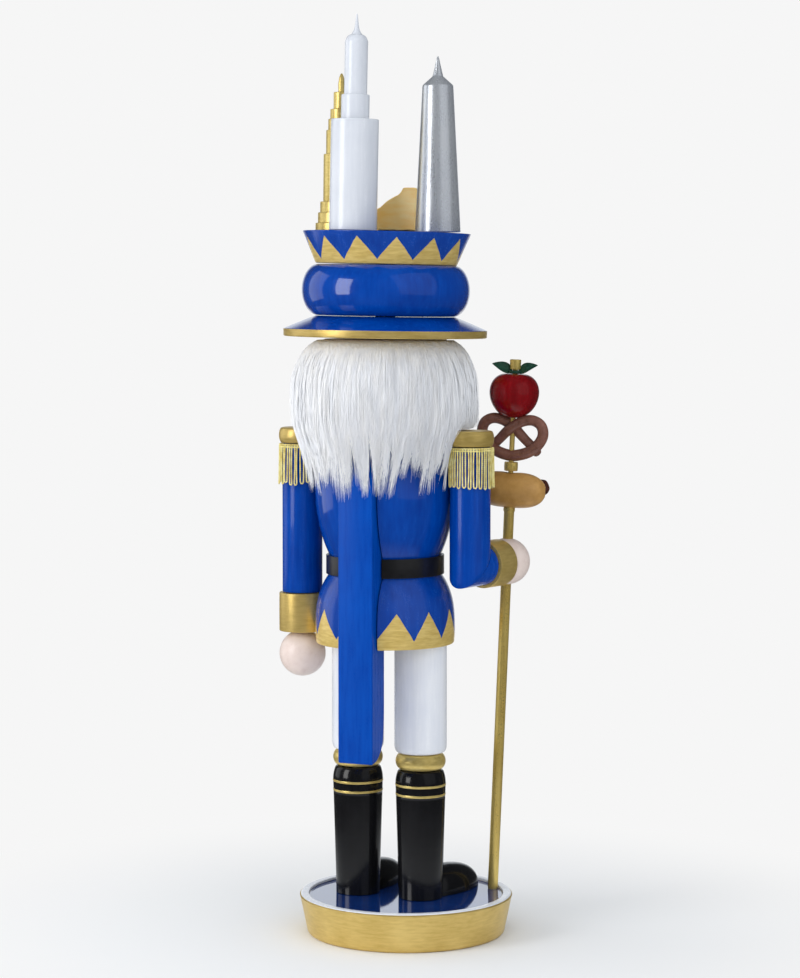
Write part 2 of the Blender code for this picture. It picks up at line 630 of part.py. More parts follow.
def make_head(figure, torso, slot):
    """The head block with its mouth slot, the pin across it, and the face's raised pieces."""
    foot = arc((HEAD_R - HEAD_ROUND, HEAD_ROUND), HEAD_ROUND, 0, -90, 5)
    head = turned("head", [(HEAD_R, HEAD_HEIGHT), *foot], SKIN, figure, (0, 0, HEAD_Z))
    cut(head, slot)
    pin_half = HEAD_R - 0.0045
    drill(head, LEVER_PIN_R, (-pin_half - GAP, PIVOT_Y, PIVOT_Z), (pin_half + GAP, PIVOT_Y, PIVOT_Z), figure)
    rod("lever_pin", LEVER_PIN_R, (-pin_half, PIVOT_Y, PIVOT_Z), (pin_half, PIVOT_Y, PIVOT_Z), STEEL, figure)
    teeth_strip("upper_teeth", HEAD_R + GAP, HEAD_Z + MOUTH_RISE + GAP, LEVER_WIDTH / 2 - 0.0010, figure)
    nose = ball("nose", NOSE_R, SKIN, figure, (0, -HEAD_R - 0.0010, HEAD_Z + NOSE_RISE), 16, 1.25)
    around_head = turned("head_room", [(HEAD_R + GAP, 0.05), (HEAD_R + GAP, 0.0)], None, figure,
                         (0, 0, HEAD_Z), cutter=True)
    cut(nose, around_head)
    for side in SIDES.values():
        x, y = side * NECK_PIN_X, NECK_PIN_Y
        drill(head, PIN_R, (x, y, HEAD_Z - OVERCUT), (x, y, HEAD_Z + PIN_DEPTH + GAP), figure)
        drill(torso, PIN_R, (x, y, TORSO_TOP_Z - PIN_DEPTH - GAP), (x, y, TORSO_TOP_Z + OVERCUT), figure)
    make_neck_dowels(figure)
    return head, around_head


def make_neck_dowels(figure):
    """Two dowels that hold the head on the shoulders, one each side of the slot."""
    for side, sign in SIDES.items():
        x, y = sign * NECK_PIN_X, NECK_PIN_Y
        rod(f"neck_dowel_{side}", PIN_R, (x, y, TORSO_TOP_Z - PIN_DEPTH), (x, y, HEAD_Z + PIN_DEPTH), WOOD, figure)


def make_moustache(figure, around_head):
    """Two drooping tapers that meet under the nose, bent round the face."""
    curve = bpy.data.curves.new("moustache", "CURVE")
    curve.dimensions = "3D"
    curve.bevel_depth = 0.0024
    curve.bevel_resolution = 2
    curve.use_fill_caps = True
    spline = curve.splines.new("POLY")
    count = 13
    spline.points.add(count - 1)
    for i, point in enumerate(spline.points):
        t = 2 * i / (count - 1) - 1
        angle = t * MOUSTACHE_HALF / HEAD_R
        drop = 0.0030 * t * t
        reach = HEAD_R + 0.0010
        point.co = (reach * math.sin(angle), -reach * math.cos(angle), HEAD_Z + MOUSTACHE_RISE - drop + 0.0020, 1)
        point.radius = 1.0 - 0.72 * t**2
    moustache = as_mesh(add_object("moustache", curve, FUR, figure))
    smooth(moustache, 60)
    cut(moustache, around_head)


def make_hair(figure):
    """The wig: a soft shell round the back and sides of the head, with a nape that hangs over the coat."""
    inner = HEAD_R + 2 * GAP
    top = HEAD_HEIGHT - 0.0002
    profile = [(HAIR_TOP_R, top), (0.93 * HAIR_R, 0.80 * top), (HAIR_R, 0.52 * top), (HAIR_R, 0.20 * top),
               (0.97 * HAIR_R, 0.0), (NAPE_R, -0.45 * NAPE_DROP), (TORSO_R + 0.0020, -NAPE_DROP)]
    nape_inner = TORSO_R + GAP
    mesh_profile = [(inner, top), *profile, (nape_inner, -NAPE_DROP), (nape_inner, -0.35 * NAPE_DROP), (inner, 0.0015)]
    hair = closed_turned("hair", mesh_profile, FUR, figure, (0, 0, HEAD_Z))
    far = 2 * HAIR_R
    cut(hair, box("face_room", (-far, -far, HEAD_Z - far), (far, HAIR_FACE_Y, HEAD_Z + far), None, figure, True))
    lever_top = PIVOT_Z + 0.0040
    room = SLOT_HALF + 0.0005
    cut(hair, box("lever_room", (-room, 0, HEAD_Z - far), (room, far, lever_top), None, figure, True))
    cap_top = SLEEVE_TOP_Z + GAP + CAP_HEIGHT + 2 * GAP
    for name, low, high in (("left", NAPE_HALF, far), ("right", -far, -NAPE_HALF)):
        cut(hair, box(f"arm_room_{name}", (low, -far, HEAD_Z - far), (high, far, cap_top), None, figure, True))
    cut(hair, box("chest_room", (-far, -far, HEAD_Z - far), (far, 0.0140, cap_top), None, figure, True))


def closed_turned(name, points, material, parent, place):
    """A lathe piece whose profile is a closed loop, given from the inner top round the outside and back."""
    mesh = bpy.data.meshes.new(name)
    edges = [(i, (i + 1) % len(points)) for i in range(len(points))]
    mesh.from_pydata([(r, 0.0, z) for r, z in points], edges, [])
    obj = add_object(name, mesh, material, parent, place)
    screw = obj.modifiers.new("turn", "SCREW")
    screw.axis = "Z"
    screw.angle = math.tau
    screw.steps = screw.render_steps = ROUND
    screw.use_merge_vertices = True
    screw.merge_threshold = 0.00001
    return obj


def make_beard(figure):
    """The beard's soft pad, glued to the chin. Its foot is relieved to clear the coat when the jaw is open."""
    inner_r = JAW_REACH + TEETH_THICK + 2 * GAP
    angle = math.degrees(math.asin(BEARD_HALF / (inner_r + BEARD_THICK)))
    inner = arc((0, 0), inner_r, 270 - angle, 270 + angle, 7)
    outer = arc((0, 0.0030), inner_r + BEARD_THICK, 270 + angle, 270 - angle, 7)
    height = BEARD_DROP - 0.0040
    top_z = JAW_TOP_Z - TEETH_HEIGHT - GAP
    beard = plate("beard", [*inner, *outer], height, FUR, figure, (0, 0, top_z - height / 2))
    open_by = Matrix.Rotation(-math.radians(JAW_OPEN), 4, "X")
    pivot = Vector((0, PIVOT_Y, PIVOT_Z))
    room = turned("coat_swing_room", torso_profile(2 * GAP), None, figure, cutter=True)
    room.rotation_euler = (-math.radians(JAW_OPEN), 0, 0)
    room.location = pivot + open_by @ (Vector((0, 0, TORSO_Z)) - pivot)
    cut(beard, room)


def make_epaulette(side, shoulder):
    """The gold shoulder button and the fringe that hangs under it round the sleeve."""
    half = CAP_HEIGHT / 2
    waist_r = CAP_R - 0.0016
    swell = arc((0.0, half), 1.0, 78, -78, 6)
    cap = [(waist_r + (CAP_R - waist_r) * x, half + (z - half) * half / math.sin(math.radians(78))) for x, z in swell]
    turned(f"epaulette_{side}", cap, GOLD, shoulder, (0, 0, SLEEVE_TOP_Z + GAP), SMALL_ROUND)
    open_at = 180 if side == "left" else 0
    start, end = open_at + FRINGE_OPEN, open_at + 360 - FRINGE_OPEN
    inner = arc((0, 0), ARM_R + GAP, start, end, 15)
    outer = arc((0, 0), ARM_R + GAP + FRINGE_THICK, end, start, 15)
    plate(f"fringe_{side}", [*inner, *outer], FRINGE_LENGTH, CORD, shoulder,
          (0, 0, SLEEVE_TOP_Z - FRINGE_LENGTH / 2))


def make_shoulder_peg(side, figure, torso, sleeve):
    sign = SIDES[side]
    inner, outer = sign * (TORSO_R - PIN_DEPTH), sign * (ARM_X + ARM_R - 0.0050)
    rod(f"shoulder_peg_{side}", PIN_R, (inner, 0, PEG_Z), (outer, 0, PEG_Z), WOOD, figure)
    drill(torso, PIN_R, (inner - sign * GAP, 0, PEG_Z), (outer, 0, PEG_Z), figure)
    drill(sleeve, PIN_R, (inner, 0, PEG_Z), (outer + sign * GAP, 0, PEG_Z), figure)


def make_hand(side, parent, sleeve):
    """A ball hand turned in one with the spigot that holds it in the cuff and the sleeve, along Z of parent."""
    centre = HAND_SINK[side] - HAND_R - GAP
    flat_r = math.sqrt(HAND_R**2 - (HAND_R - HAND_SINK[side]) ** 2)
    start = math.degrees(math.asin((HAND_R - HAND_SINK[side]) / HAND_R))
    sphere = arc((0.0, centre), HAND_R, start, -84, 10)
    top = CUFF_LENGTH[side] + SPIGOT_LENGTH
    first = [(PIN_R, top), (PIN_R, -GAP)] + ([] if flat_r < PIN_R else [(flat_r, -GAP)])
    hand = turned(f"hand_{side}", first + sphere[1:], SKIN, parent, sides=SMALL_ROUND)
    drill(sleeve, PIN_R, (0, 0, 0), (0, 0, top + GAP), parent)
    return hand


def make_cuff(side, parent):
    """The gold cuff, from the end of the sleeve at +CUFF_LENGTH down to the hand at 0, along Z of parent."""
    length = CUFF_LENGTH[side]
    return turned(f"cuff_{side}", [(CUFF_R - 0.0004, length), (CUFF_R, length - 0.0004), (CUFF_R, 0.0004),
                                   (CUFF_R - 0.0004, 0.0)], GOLD, parent, sides=SMALL_ROUND, bore=PIN_R + GAP)


def make_left_arm(figure, torso):
    """The straight arm at the figure's left side."""
    shoulder = empty("shoulder_left", (ARM_X, 0, 0), parent=figure)
    foot_z = SLEEVE_TOP_Z - SLEEVE_LENGTH
    sleeve = turned("sleeve_left", [(ARM_R, SLEEVE_TOP_Z), (ARM_R, foot_z)], BLUE, shoulder, sides=SMALL_ROUND)
    wrist = empty("wrist_left", (0, 0, foot_z - GAP - CUFF_LENGTH["left"]), parent=shoulder)
    skirt_room = turned("skirt_room", skirt_profile(GAP), None, figure, (0, 0, SKIRT_Z), cutter=True)
    cut(make_cuff("left", wrist), skirt_room)
    make_hand("left", wrist, sleeve)
    make_epaulette("left", shoulder)
    make_shoulder_peg("left", figure, torso, sleeve)


def half_space(name, place, normal, parent):
    """A big box that lies on one side of a plane, for mitre cuts."""
    size = 0.08
    obj = box(name, (-size, -size, 0), (size, size, 2 * size), None, parent, True)
    obj.rotation_mode = "QUATERNION"
    obj.rotation_quaternion = Vector(normal).to_track_quat("Z", "Y")
    obj.location = Vector(place) + Vector(normal).normalized() * size
    return obj


def make_right_arm(figure, staff, torso):
    """The bent arm: two mitred lengths, a cuff, and a hand drilled for the staff."""
    shoulder = empty("shoulder_right", (-ARM_X, 0, 0), parent=figure)
    lean = math.tan(math.radians(STAFF_LEAN))
    hand_x = STAFF_X - lean * (ELBOW_Z - FLOOR_Z) - FIGURE_X + ARM_X
    hand_y = STAFF_Y - FIGURE_Y
    forward = Vector((hand_x, hand_y, 0)).normalized()
    reach = Vector((hand_x, hand_y, 0)).length
    elbow = Vector((0, 0, ELBOW_Z))
    mitre = forward + Vector((0, 0, -1))
    sleeve = turned("sleeve_right", [(ARM_R, SLEEVE_TOP_Z), (ARM_R, ELBOW_Z - 2 * ARM_R)], BLUE, shoulder,
                    sides=SMALL_ROUND)
    cut(sleeve, half_space("mitre_upper", elbow - mitre.normalized() * GAP / 2, mitre, shoulder))
    # The wrist's own Z points back from the hand to the elbow.
    to_cuff = reach - (HAND_R - HAND_SINK["right"]) - GAP
    wrist = empty("wrist_right", elbow + forward * to_cuff, parent=shoulder)
    wrist.rotation_mode = "QUATERNION"
    wrist.rotation_quaternion = (-forward).to_track_quat("Z", "X")
    cuff_foot = CUFF_LENGTH["right"] + GAP
    forearm = turned("forearm_right", [(ARM_R, to_cuff + 2 * ARM_R), (ARM_R, cuff_foot)], BLUE, wrist,
                     sides=SMALL_ROUND)
    cut(forearm, half_space("mitre_lower", elbow + mitre.normalized() * GAP / 2, -mitre, shoulder))
    make_cuff("right", wrist)
    hand = make_hand("right", wrist, forearm)
    drill(hand, STAFF_R, (0, 0, ELBOW_Z - FLOOR_Z - 2 * HAND_R), (0, 0, ELBOW_Z - FLOOR_Z + 2 * HAND_R), staff)
    make_epaulette("right", shoulder)
    make_shoulder_peg("right", figure, torso, sleeve)


def make_staff(staff):
    """The staff and what it carries: bun and sausage, spacer, pretzel, apple with leaves, stem."""
    shoulder_z = BUN_CENTRE
    tip_z = stem_foot() + STEM_LENGTH - 0.0015
    profile = [(TENON_R, tip_z), (TENON_R, shoulder_z), (STAFF_R, shoulder_z), (STAFF_R, -PIN_DEPTH)]
    turned("staff", profile, GOLD, staff, sides=16)
    make_bun(staff)
    turned("staff_spacer", [(SPACER_R, SPACER_LENGTH), (SPACER_R, 0.0)], GOLD, staff,
           (0, 0, spacer_foot()), 16, TENON_R + GAP)
    make_pretzel(staff)
    make_apple(staff)
    make_leaves(staff)


def spacer_foot():
    return BUN_CENTRE + BUN_R + GAP


def pretzel_centre():
    return spacer_foot() + SPACER_LENGTH + GAP + DOUGH_R + PRETZEL_RISE


def apple_foot():
    return pretzel_centre() + 0.72 * PRETZEL_RISE + DOUGH_R


def stem_foot():
    return apple_foot() + APPLE_HEIGHT - 0.0010 + GAP


def capsule(name, radius, half, material, parent, place, sides=SMALL_ROUND):
    """A round bar with domed ends that lies along X."""
    ends = arc((0.0, 0.0), 1.0, 90, 0, 5)
    right = [(radius * y, half - radius * 1.15 + radius * 1.15 * x) for x, y in ends]
    profile = [(r, z) for r, z in right[::-1]] + [(r, -z) for r, z in right]
    profile = profile[1:-1]
    bar = turned(name, profile, material, parent, place, sides)
    bar.rotation_euler = (0, math.pi / 2, 0)
    return bar


def make_bun(staff):
    """The bun is split along its front, and the sausage lies in the split."""
    place = (0, 0, BUN_CENTRE)
    bun = capsule("bun", BUN_R, BUN_HALF, BUN, staff, place)
    sausage_y = -BUN_R * 0.72
    room = capsule("sausage_room", SAUSAGE_R + GAP, SAUSAGE_HALF + GAP, None, staff,
                   (0, sausage_y, BUN_CENTRE + 0.0018), 16)
    bpy.context.view_layer.update()
    PARTS.objects.unlink(room)
    CUTTERS.objects.link(room)
    room.hide_render = True
    room.display_type = "WIRE"
    cut(bun, room)
    capsule("sausage", SAUSAGE_R, SAUSAGE_HALF, SAUSAGE, staff, (0, sausage_y, BUN_CENTRE + 0.0018), 16)
    shoulder = BUN_CENTRE + GAP
    drill(bun, STAFF_R, (0, 0, BUN_CENTRE - 2 * BUN_R), (0, 0, shoulder), staff)
    drill(bun, TENON_R, (0, 0, BUN_CENTRE - BUN_R), (0, 0, BUN_CENTRE + 2 * BUN_R), staff)


def pretzel_points(count=45):
    """The dough's centre line: an end past the low arc, the crossing, a loop, the low arc, and its mirror image."""
    half = [(-0.83, -0.91), (-0.65, -0.51), (-0.42, -0.13), (-0.20, 0.23), (0.04, 0.56), (0.33, 0.87),
            (0.66, 0.95), (0.93, 0.69), (1.0, 0.17), (0.83, -0.38), (0.49, -0.81), (0.0, -1.0)]
    points = half + [(-x, z) for x, z in half[-2::-1]]
    return smooth_line([(x * PRETZEL_HALF, z * PRETZEL_RISE) for x, z in points], count)


def smooth_line(points, count):
    """Points read off a Catmull-Rom curve through the given ones."""
    last = len(points) - 1
    found = []
    for i in range(count):
        t = i / (count - 1) * last
        k = min(int(t), last - 1)
        f = t - k
        p = [points[max(0, min(last, k + j))] for j in (-1, 0, 1, 2)]
        found.append(tuple(0.5 * (2 * p[1][a] + (p[2][a] - p[0][a]) * f
                                  + (2 * p[0][a] - 5 * p[1][a] + 4 * p[2][a] - p[3][a]) * f**2
                                  + (3 * p[1][a] - p[0][a] - 3 * p[2][a] + p[3][a]) * f**3)
                           for a in range(len(points[0]))))
    return found


def make_pretzel(staff):
    """A strand of dough that crosses itself: two mirrored halves, joined where they overlap."""
    centre = pretzel_centre()
    pretzel = add_object("pretzel", dough_mesh("pretzel", 1), BROWN, staff, (0, 0, centre))
    other = add_object("pretzel_half", dough_mesh("pretzel_half", -1), None, staff, (0, 0, centre), cutter=True)
    cut(pretzel, other, "UNION")
    drill(pretzel, TENON_R, (0, 0, centre - 0.03), (0, 0, centre + 0.03), staff)


def dough_mesh(name, sign, extra=0.0):
    """Half of the strand. It lies before or behind the other half where the two cross."""
    line = pretzel_points()
    run = line[: len(line) // 2 + (3 if sign > 0 else 1)]
    path, radii = [], []
    for i, (x, z) in enumerate(run):
        over = DOUGH_R * 1.25 * max(0.0, 1.0 - i / 6.0)
        lift = 0.0013 * math.exp(-(((i - 8) / 3.0) ** 2))
        path.append((sign * x, -sign * lift - over, z))
        radii.append(DOUGH_R * (0.84, 0.93, 0.98)[i] if i < 3 else DOUGH_R)
    radii = [radius + extra for radius in radii]
    radii[-1] *= 0.72            # each half ends inside the other
    return tube(name, path, radii, (0, 1, 0), 9)


def tube(name, path, radii, across, sides):
    """A round bar along a path that lies about flat, where across is the direction out of that plane."""
    path = [Vector(p) for p in path]
    across = Vector(across)
    bm = bmesh.new()
    rings = []
    for i, (point, radius) in enumerate(zip(path, radii)):
        along = (path[min(i + 1, len(path) - 1)] - path[max(i - 1, 0)]).normalized()
        side = along.cross(across).normalized()
        up = side.cross(along)
        turns = [math.tau * k / sides for k in range(sides)]
        rings.append([bm.verts.new(point + radius * (side * math.cos(a) + up * math.sin(a))) for a in turns])
    for low, high in zip(rings, rings[1:]):
        for k in range(sides):
            bm.faces.new((low[k], low[(k + 1) % sides], high[(k + 1) % sides], high[k]))
    bm.faces.new(rings[0][::-1])
    bm.faces.new(rings[-1])
    bmesh.ops.recalc_face_normals(bm, faces=bm.faces)
    mesh = bpy.data.meshes.new(name)
    bm.to_mesh(mesh)
    bm.free()
    return mesh


def make_apple(staff):
    """The apple: broad shoulders, a hollow at the stem and a narrower foot."""
    rows = 11
    profile = []
    for i in range(1, rows):
        a = math.pi * i / rows
        r = APPLE_R * math.sin(a) ** 0.85 * (1.0 + 0.10 * math.cos(a))
        z = APPLE_HEIGHT * (0.5 + 0.5 * math.cos(a)) - 0.0012 * math.exp(-((r / 0.005) ** 2))
        profile.append((r, z))
    apple = turned("apple", profile, RED, staff, (0, 0, apple_foot()), SMALL_ROUND, TENON_R + GAP)
    for name, sign in (("dough_room_a", 1), ("dough_room_b", -1)):
        room = add_object(name, dough_mesh(name, sign, GAP), None, staff, (0, 0, pretzel_centre()), cutter=True)
        cut(apple, room)


def make_leaves(staff):
    """Two leaves that rise from a collar round the tenon, and the stem that stands on the collar."""
    foot = stem_foot()
    root = STEM_R - 0.0008
    steps = 8
    side = []
    for i in range(steps + 1):
        u = i / steps
        half = LEAF_HALF * math.sin(math.pi * u**0.8) if i < steps else 0.0
        side.append((root + u * LEAF_LENGTH, max(half, LEAF_ROOT_HALF * (1 - u) ** 2)))
    outline = [(x, -y) for x, y in side] + [(x, y) for x, y in side[-2::-1]]
    collar_r = STEM_R + 0.0008
    leaves = turned("leaves", [(collar_r, COLLAR_HEIGHT), (collar_r, 0.0)], GREEN, staff, (0, 0, foot), 16,
                    TENON_R + GAP)
    tilt = Matrix.Rotation(-math.radians(LEAF_RISE), 3, "Y")
    drop = STEM_R * math.sin(math.radians(LEAF_RISE))
    for i, angle in enumerate(LEAF_ANGLES):
        leaf = plate(f"leaf_{i}", outline, LEAF_THICK, None, staff, (0, 0, foot + COLLAR_HEIGHT / 2 - drop), cutter=True)
        leaf.rotation_euler = (Matrix.Rotation(math.radians(angle), 3, "Z") @ tilt).to_euler()
        cut(leaves, leaf, "UNION")
    stem_z = foot + COLLAR_HEIGHT + GAP
    stem = turned("stem", [(STEM_R, STEM_LENGTH), (STEM_R * 0.9, 0.0)], GOLD, staff, (0, 0, stem_z), 16)
    drill(stem, TENON_R, (0, 0, stem_z - OVERCUT), (0, 0, stem_foot() + STEM_LENGTH - 0.0015 + GAP), staff)


def hat_holder(figure):
    """The hat's own axis, turned about a level line through the middle of the brim's underside."""
    line = Vector((-math.sin(math.radians(HAT_TILT_TURN)), math.cos(math.radians(HAT_TILT_TURN)), 0))
    tilt = Matrix.Rotation(math.radians(HAT_TILT), 4, line)
    centre = Vector((0, 0, BRIM_Z))
    return empty("hat", centre - tilt @ centre, tilt.to_euler(), figure)


def make_hat(hat):
    """Brim, roll and crown on one dowel."""
    bore = HAT_DOWEL_R + GAP
    dome = flank((BRIM_R, BRIM_EDGE), (ROLL_NECK_R, BRIM_HEIGHT), 1.0, 6)
    rise = BRIM_HEIGHT - BRIM_EDGE
    profile = []
    for r, z in dome[::-1]:
        u = (r - ROLL_NECK_R) / (BRIM_R - ROLL_NECK_R)
        profile.append((r, BRIM_HEIGHT - rise * u**1.9))
    profile += [(BRIM_R, 0.0005), (BRIM_R - 0.0005, 0.0)]
    turned("hat_brim", profile, BLUE, hat, (0, 0, BRIM_Z), ROUND, bore)
    half = ROLL_HEIGHT / 2
    swell = arc((0.0, 0.0), 1.0, 90, -90, 9)
    roll = [(ROLL_NECK_R + (ROLL_R - ROLL_NECK_R) * x, half + half * z) for x, z in swell]
    turned("hat_roll", roll, BLUE, hat, (0, 0, ROLL_Z), ROUND, bore)
    crown_profile = [(CROWN_TOP_R - 0.0005, CROWN_HEIGHT), (CROWN_TOP_R, CROWN_HEIGHT - 0.0005),
                     (CROWN_FOOT_R, 0.0005), (CROWN_FOOT_R - 0.0005, 0.0)]
    crown = turned("hat_crown", crown_profile, BLUE, hat, (0, 0, CROWN_Z), ROUND)
    low, high = HEAD_TOP_Z - PIN_DEPTH, CROWN_Z + 0.6 * CROWN_HEIGHT
    rod("hat_dowel", HAT_DOWEL_R, (0, 0, low), (0, 0, high), WOOD, hat)
    drill(crown, HAT_DOWEL_R, (0, 0, CROWN_Z - OVERCUT), (0, 0, high + GAP), hat)
    return low


def stepped_profile(steps, spire):
    """A stack of cylinders from the top down, under a spire given as (radius, height) from its foot up."""
    points = []
    z = 0.0
    for radius, height in steps:
        points += [(radius, z), (radius, z + height)]
        z += height
    points += [(radius, z + height) for radius, height in spire]
    return points[::-1]


def make_towers(hat):
    """Three turned towers and a cut-out plate, standing on the crown."""
    spire = ((0.0050, 0.0028), (0.0034, 0.0050), (0.0020, 0.0058), (0.0026, 0.0066), (0.0017, 0.0078),
             (0.0009, 0.0125), (0.0004, 0.0152))
    turned("tower_white", stepped_profile(WHITE_STEPS, spire), WHITE, hat, (*WHITE_TOWER_AT, TOWER_Z), SMALL_ROUND)
    bullet = ((0.0016, 0.0), (0.0017, 0.0040), (0.0012, 0.0075), (0.0004, 0.0094))
    turned("tower_gold", stepped_profile(GOLD_STEPS, bullet), GOLD, hat, (*GOLD_TOWER_AT, TOWER_Z), SMALL_ROUND)
    top = SILVER_HEIGHT
    silver = [(0.0004, top + 0.0142), (0.0027, top + 0.0042), (SILVER_TOP_R, top), (SILVER_FOOT_R, 0.0)]
    turned("tower_silver", silver, SILVER, hat, (*SILVER_TOWER_AT, TOWER_Z), SMALL_ROUND)


def plate_outline():
    """The cut-out's right half from its low end up to the raised middle, mirrored, with four small feet."""
    half = [(1.00, 0.48), (0.78, 0.56), (0.60, 0.70), (0.42, 0.80), (0.34, 0.82), (0.28, 0.88), (0.22, 1.0)]
    upper = [(x * PLATE_HALF, z * PLATE_HEIGHT) for x, z in half]
    upper += [(-x, z) for x, z in upper[::-1]]
    feet = []
    for left, right in ((-1.0, -0.80), (-0.32, -0.10), (0.10, 0.32), (0.80, 1.0)):
        a, b = left * PLATE_HALF, right * PLATE_HALF
        feet += [(a, PLATE_FOOT if feet else 0.0), (a, 0.0), (b, 0.0), (b, PLATE_FOOT if right < 1 else 0.0)]
    return upper + feet[1:-1]


def make_plate(hat):
    cutout = plate("hat_plate", plate_outline(), PLATE_THICK, AMBER, hat, (0, PLATE_Y, TOWER_Z))
    cutout.rotation_euler = (math.pi / 2, 0, 0)


def build():
    figure = empty("figure", (FIGURE_X, FIGURE_Y, 0))
    staff = empty("staff_line", (STAFF_X, STAFF_Y, FLOOR_Z), (0, -math.radians(STAFF_LEAN), 0))
    make_base(figure, staff)
    for side in SIDES:
        make_leg(side, figure)
    slot = make_slot(figure)
    _, torso = make_coat(figure, slot)
    make_buckle(figure)
    make_buttons(figure)
    make_lever(figure)
    head, around_head = make_head(figure, torso, slot)
    make_moustache(figure, around_head)
    make_hair(figure)
    make_beard(figure)
    make_left_arm(figure, torso)
    make_right_arm(figure, staff, torso)
    make_staff(staff)
    hat = hat_holder(figure)
    dowel_foot = make_hat(hat)
    drill(head, HAT_DOWEL_R, (0, 0, dowel_foot - GAP), (0, 0, HEAD_TOP_Z + OVERCUT), hat)
    make_towers(hat)
    make_plate(hat)


build()
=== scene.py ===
import math

import bpy
import numpy as np
from mathutils import Matrix, Vector


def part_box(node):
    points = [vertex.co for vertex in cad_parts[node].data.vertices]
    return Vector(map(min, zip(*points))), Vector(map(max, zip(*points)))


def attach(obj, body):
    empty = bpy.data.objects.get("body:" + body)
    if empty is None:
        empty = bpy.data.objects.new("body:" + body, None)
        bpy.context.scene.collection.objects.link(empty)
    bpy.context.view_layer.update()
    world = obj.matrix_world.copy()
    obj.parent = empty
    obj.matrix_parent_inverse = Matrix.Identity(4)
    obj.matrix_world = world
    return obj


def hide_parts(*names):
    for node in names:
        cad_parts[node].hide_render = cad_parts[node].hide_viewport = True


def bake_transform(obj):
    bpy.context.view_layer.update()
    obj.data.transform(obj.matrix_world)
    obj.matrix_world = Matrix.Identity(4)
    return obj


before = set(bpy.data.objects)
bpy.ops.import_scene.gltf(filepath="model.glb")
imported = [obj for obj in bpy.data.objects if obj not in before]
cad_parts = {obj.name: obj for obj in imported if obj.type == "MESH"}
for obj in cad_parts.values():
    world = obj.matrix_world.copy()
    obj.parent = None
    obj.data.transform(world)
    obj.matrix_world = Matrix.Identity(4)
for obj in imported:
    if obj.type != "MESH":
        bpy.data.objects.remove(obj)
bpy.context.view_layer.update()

mm = 0.001
dice = np.random.default_rng(1816)
print("frame loaded:", len(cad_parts), "nodes")


def middle(node):
    # where a node's middle lies in plan
    low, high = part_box(node)
    return (low[0] + high[0]) / 2, (low[1] + high[1]) / 2


def levels(node):
    # the level of a node's foot and of its top
    low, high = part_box(node)
    return low[2], high[2]


axisX, axisY = middle("waist_dowel")                # the figure's own upright axis
floorZ = levels("boot_left")[0] - 0.3 * mm


def table(*columns):
    # arrays side by side, as the last axis of one array
    return np.stack(columns, axis=-1)


def fullTurn(sides):
    # the angles of a full turn in equal steps
    return np.arange(sides) * (2 * math.pi / sides)


# mesh makers: every shape is a grid of rows and columns worked out as whole arrays
def makePiece(name, points, faces, paints, which=None, body="figure", stands=(), crease=42.0, slot=None):
    # one visible piece: its mesh and paints, the body it rides on, the solids it stands for, and its slot,
    # which is not used
    mesh = bpy.data.meshes.new(name)
    mesh.from_pydata(np.asarray(points, dtype=float).tolist(), [], faces)
    for paint in paints:
        mesh.materials.append(getattr(paint, "material", paint))
    if which is not None:
        mesh.polygons.foreach_set("material_index", np.asarray(which, dtype=np.int32))
    mesh.update()
    mesh.shade_smooth()
    mesh.set_sharp_from_angle(angle=math.radians(crease))
    piece = bpy.data.objects.new(name, mesh)
    bpy.context.scene.collection.objects.link(piece)
    # a piece with no body is not attached to one
    if body:
        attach(piece, body)
    if stands:
        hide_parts(*((stands,) if isinstance(stands, str) else stands))
    return piece


def bendCorners(points, radius, steps=4, closed=False):
    # every corner becomes a quadratic arc: B(t) = (1-t)^2 before + 2t(1-t) corner + t^2 after
    points = np.asarray(points, dtype=float)
    before = np.roll(points, 1, axis=0) - points
    after = np.roll(points, -1, axis=0) - points
    reachBefore, reachAfter = np.linalg.norm(before, axis=1), np.linalg.norm(after, axis=1)
    radii = np.broadcast_to(np.asarray(radius, dtype=float), (len(points),))
    cut = np.minimum(radii, 0.45 * np.minimum(reachBefore, reachAfter))
    t = np.linspace(0, 1, steps + 1)[None, :, None]
    start = (points + before / reachBefore[:, None].clip(1e-9) * cut[:, None])[:, None, :]
    end = (points + after / reachAfter[:, None].clip(1e-9) * cut[:, None])[:, None, :]
    bent = (1 - t) ** 2 * start + 2 * t * (1 - t) * points[:, None, :] + t**2 * end
    if closed:
        return bent.reshape(-1, points.shape[1])
    inner = bent[1:-1].reshape(-1, points.shape[1])
    return np.vstack([points[:1], inner, points[-1:]])


def gridMesh(grid):
    # a grid of points rows x columns, wrapped round its columns, with both end rows closed
    rows, columns = grid.shape[:2]
    index = np.arange(rows * columns).reshape(rows, columns)
    right = np.roll(index, -1, axis=1)
    faces = table(index[:-1], right[:-1], right[1:], index[1:]).reshape(-1, 4).tolist()
    return grid.reshape(-1, 3), faces + [index[0][::-1].tolist(), index[-1].tolist()]


def unit(v):
    # every vector of an array at length 1
    return v / np.linalg.norm(v, axis=-1)[..., None].clip(1e-9)


def uprightFrame(x, y, z=0.0):
    # a place with upright axes
    return np.array([x, y, z]), np.eye(3)


def frameAlong(origin, direction):
    # a place whose own z runs along direction, and whose x stays as level as it can
    z = np.asarray(direction, dtype=float) / np.linalg.norm(direction)
    x = np.cross([0.0, 1.0, 0.0] if abs(z[1]) < 0.9 else [0.0, 0.0, 1.0], z)
    x /= np.linalg.norm(x)
    return np.asarray(origin, dtype=float), np.array([x, np.cross(z, x), z])


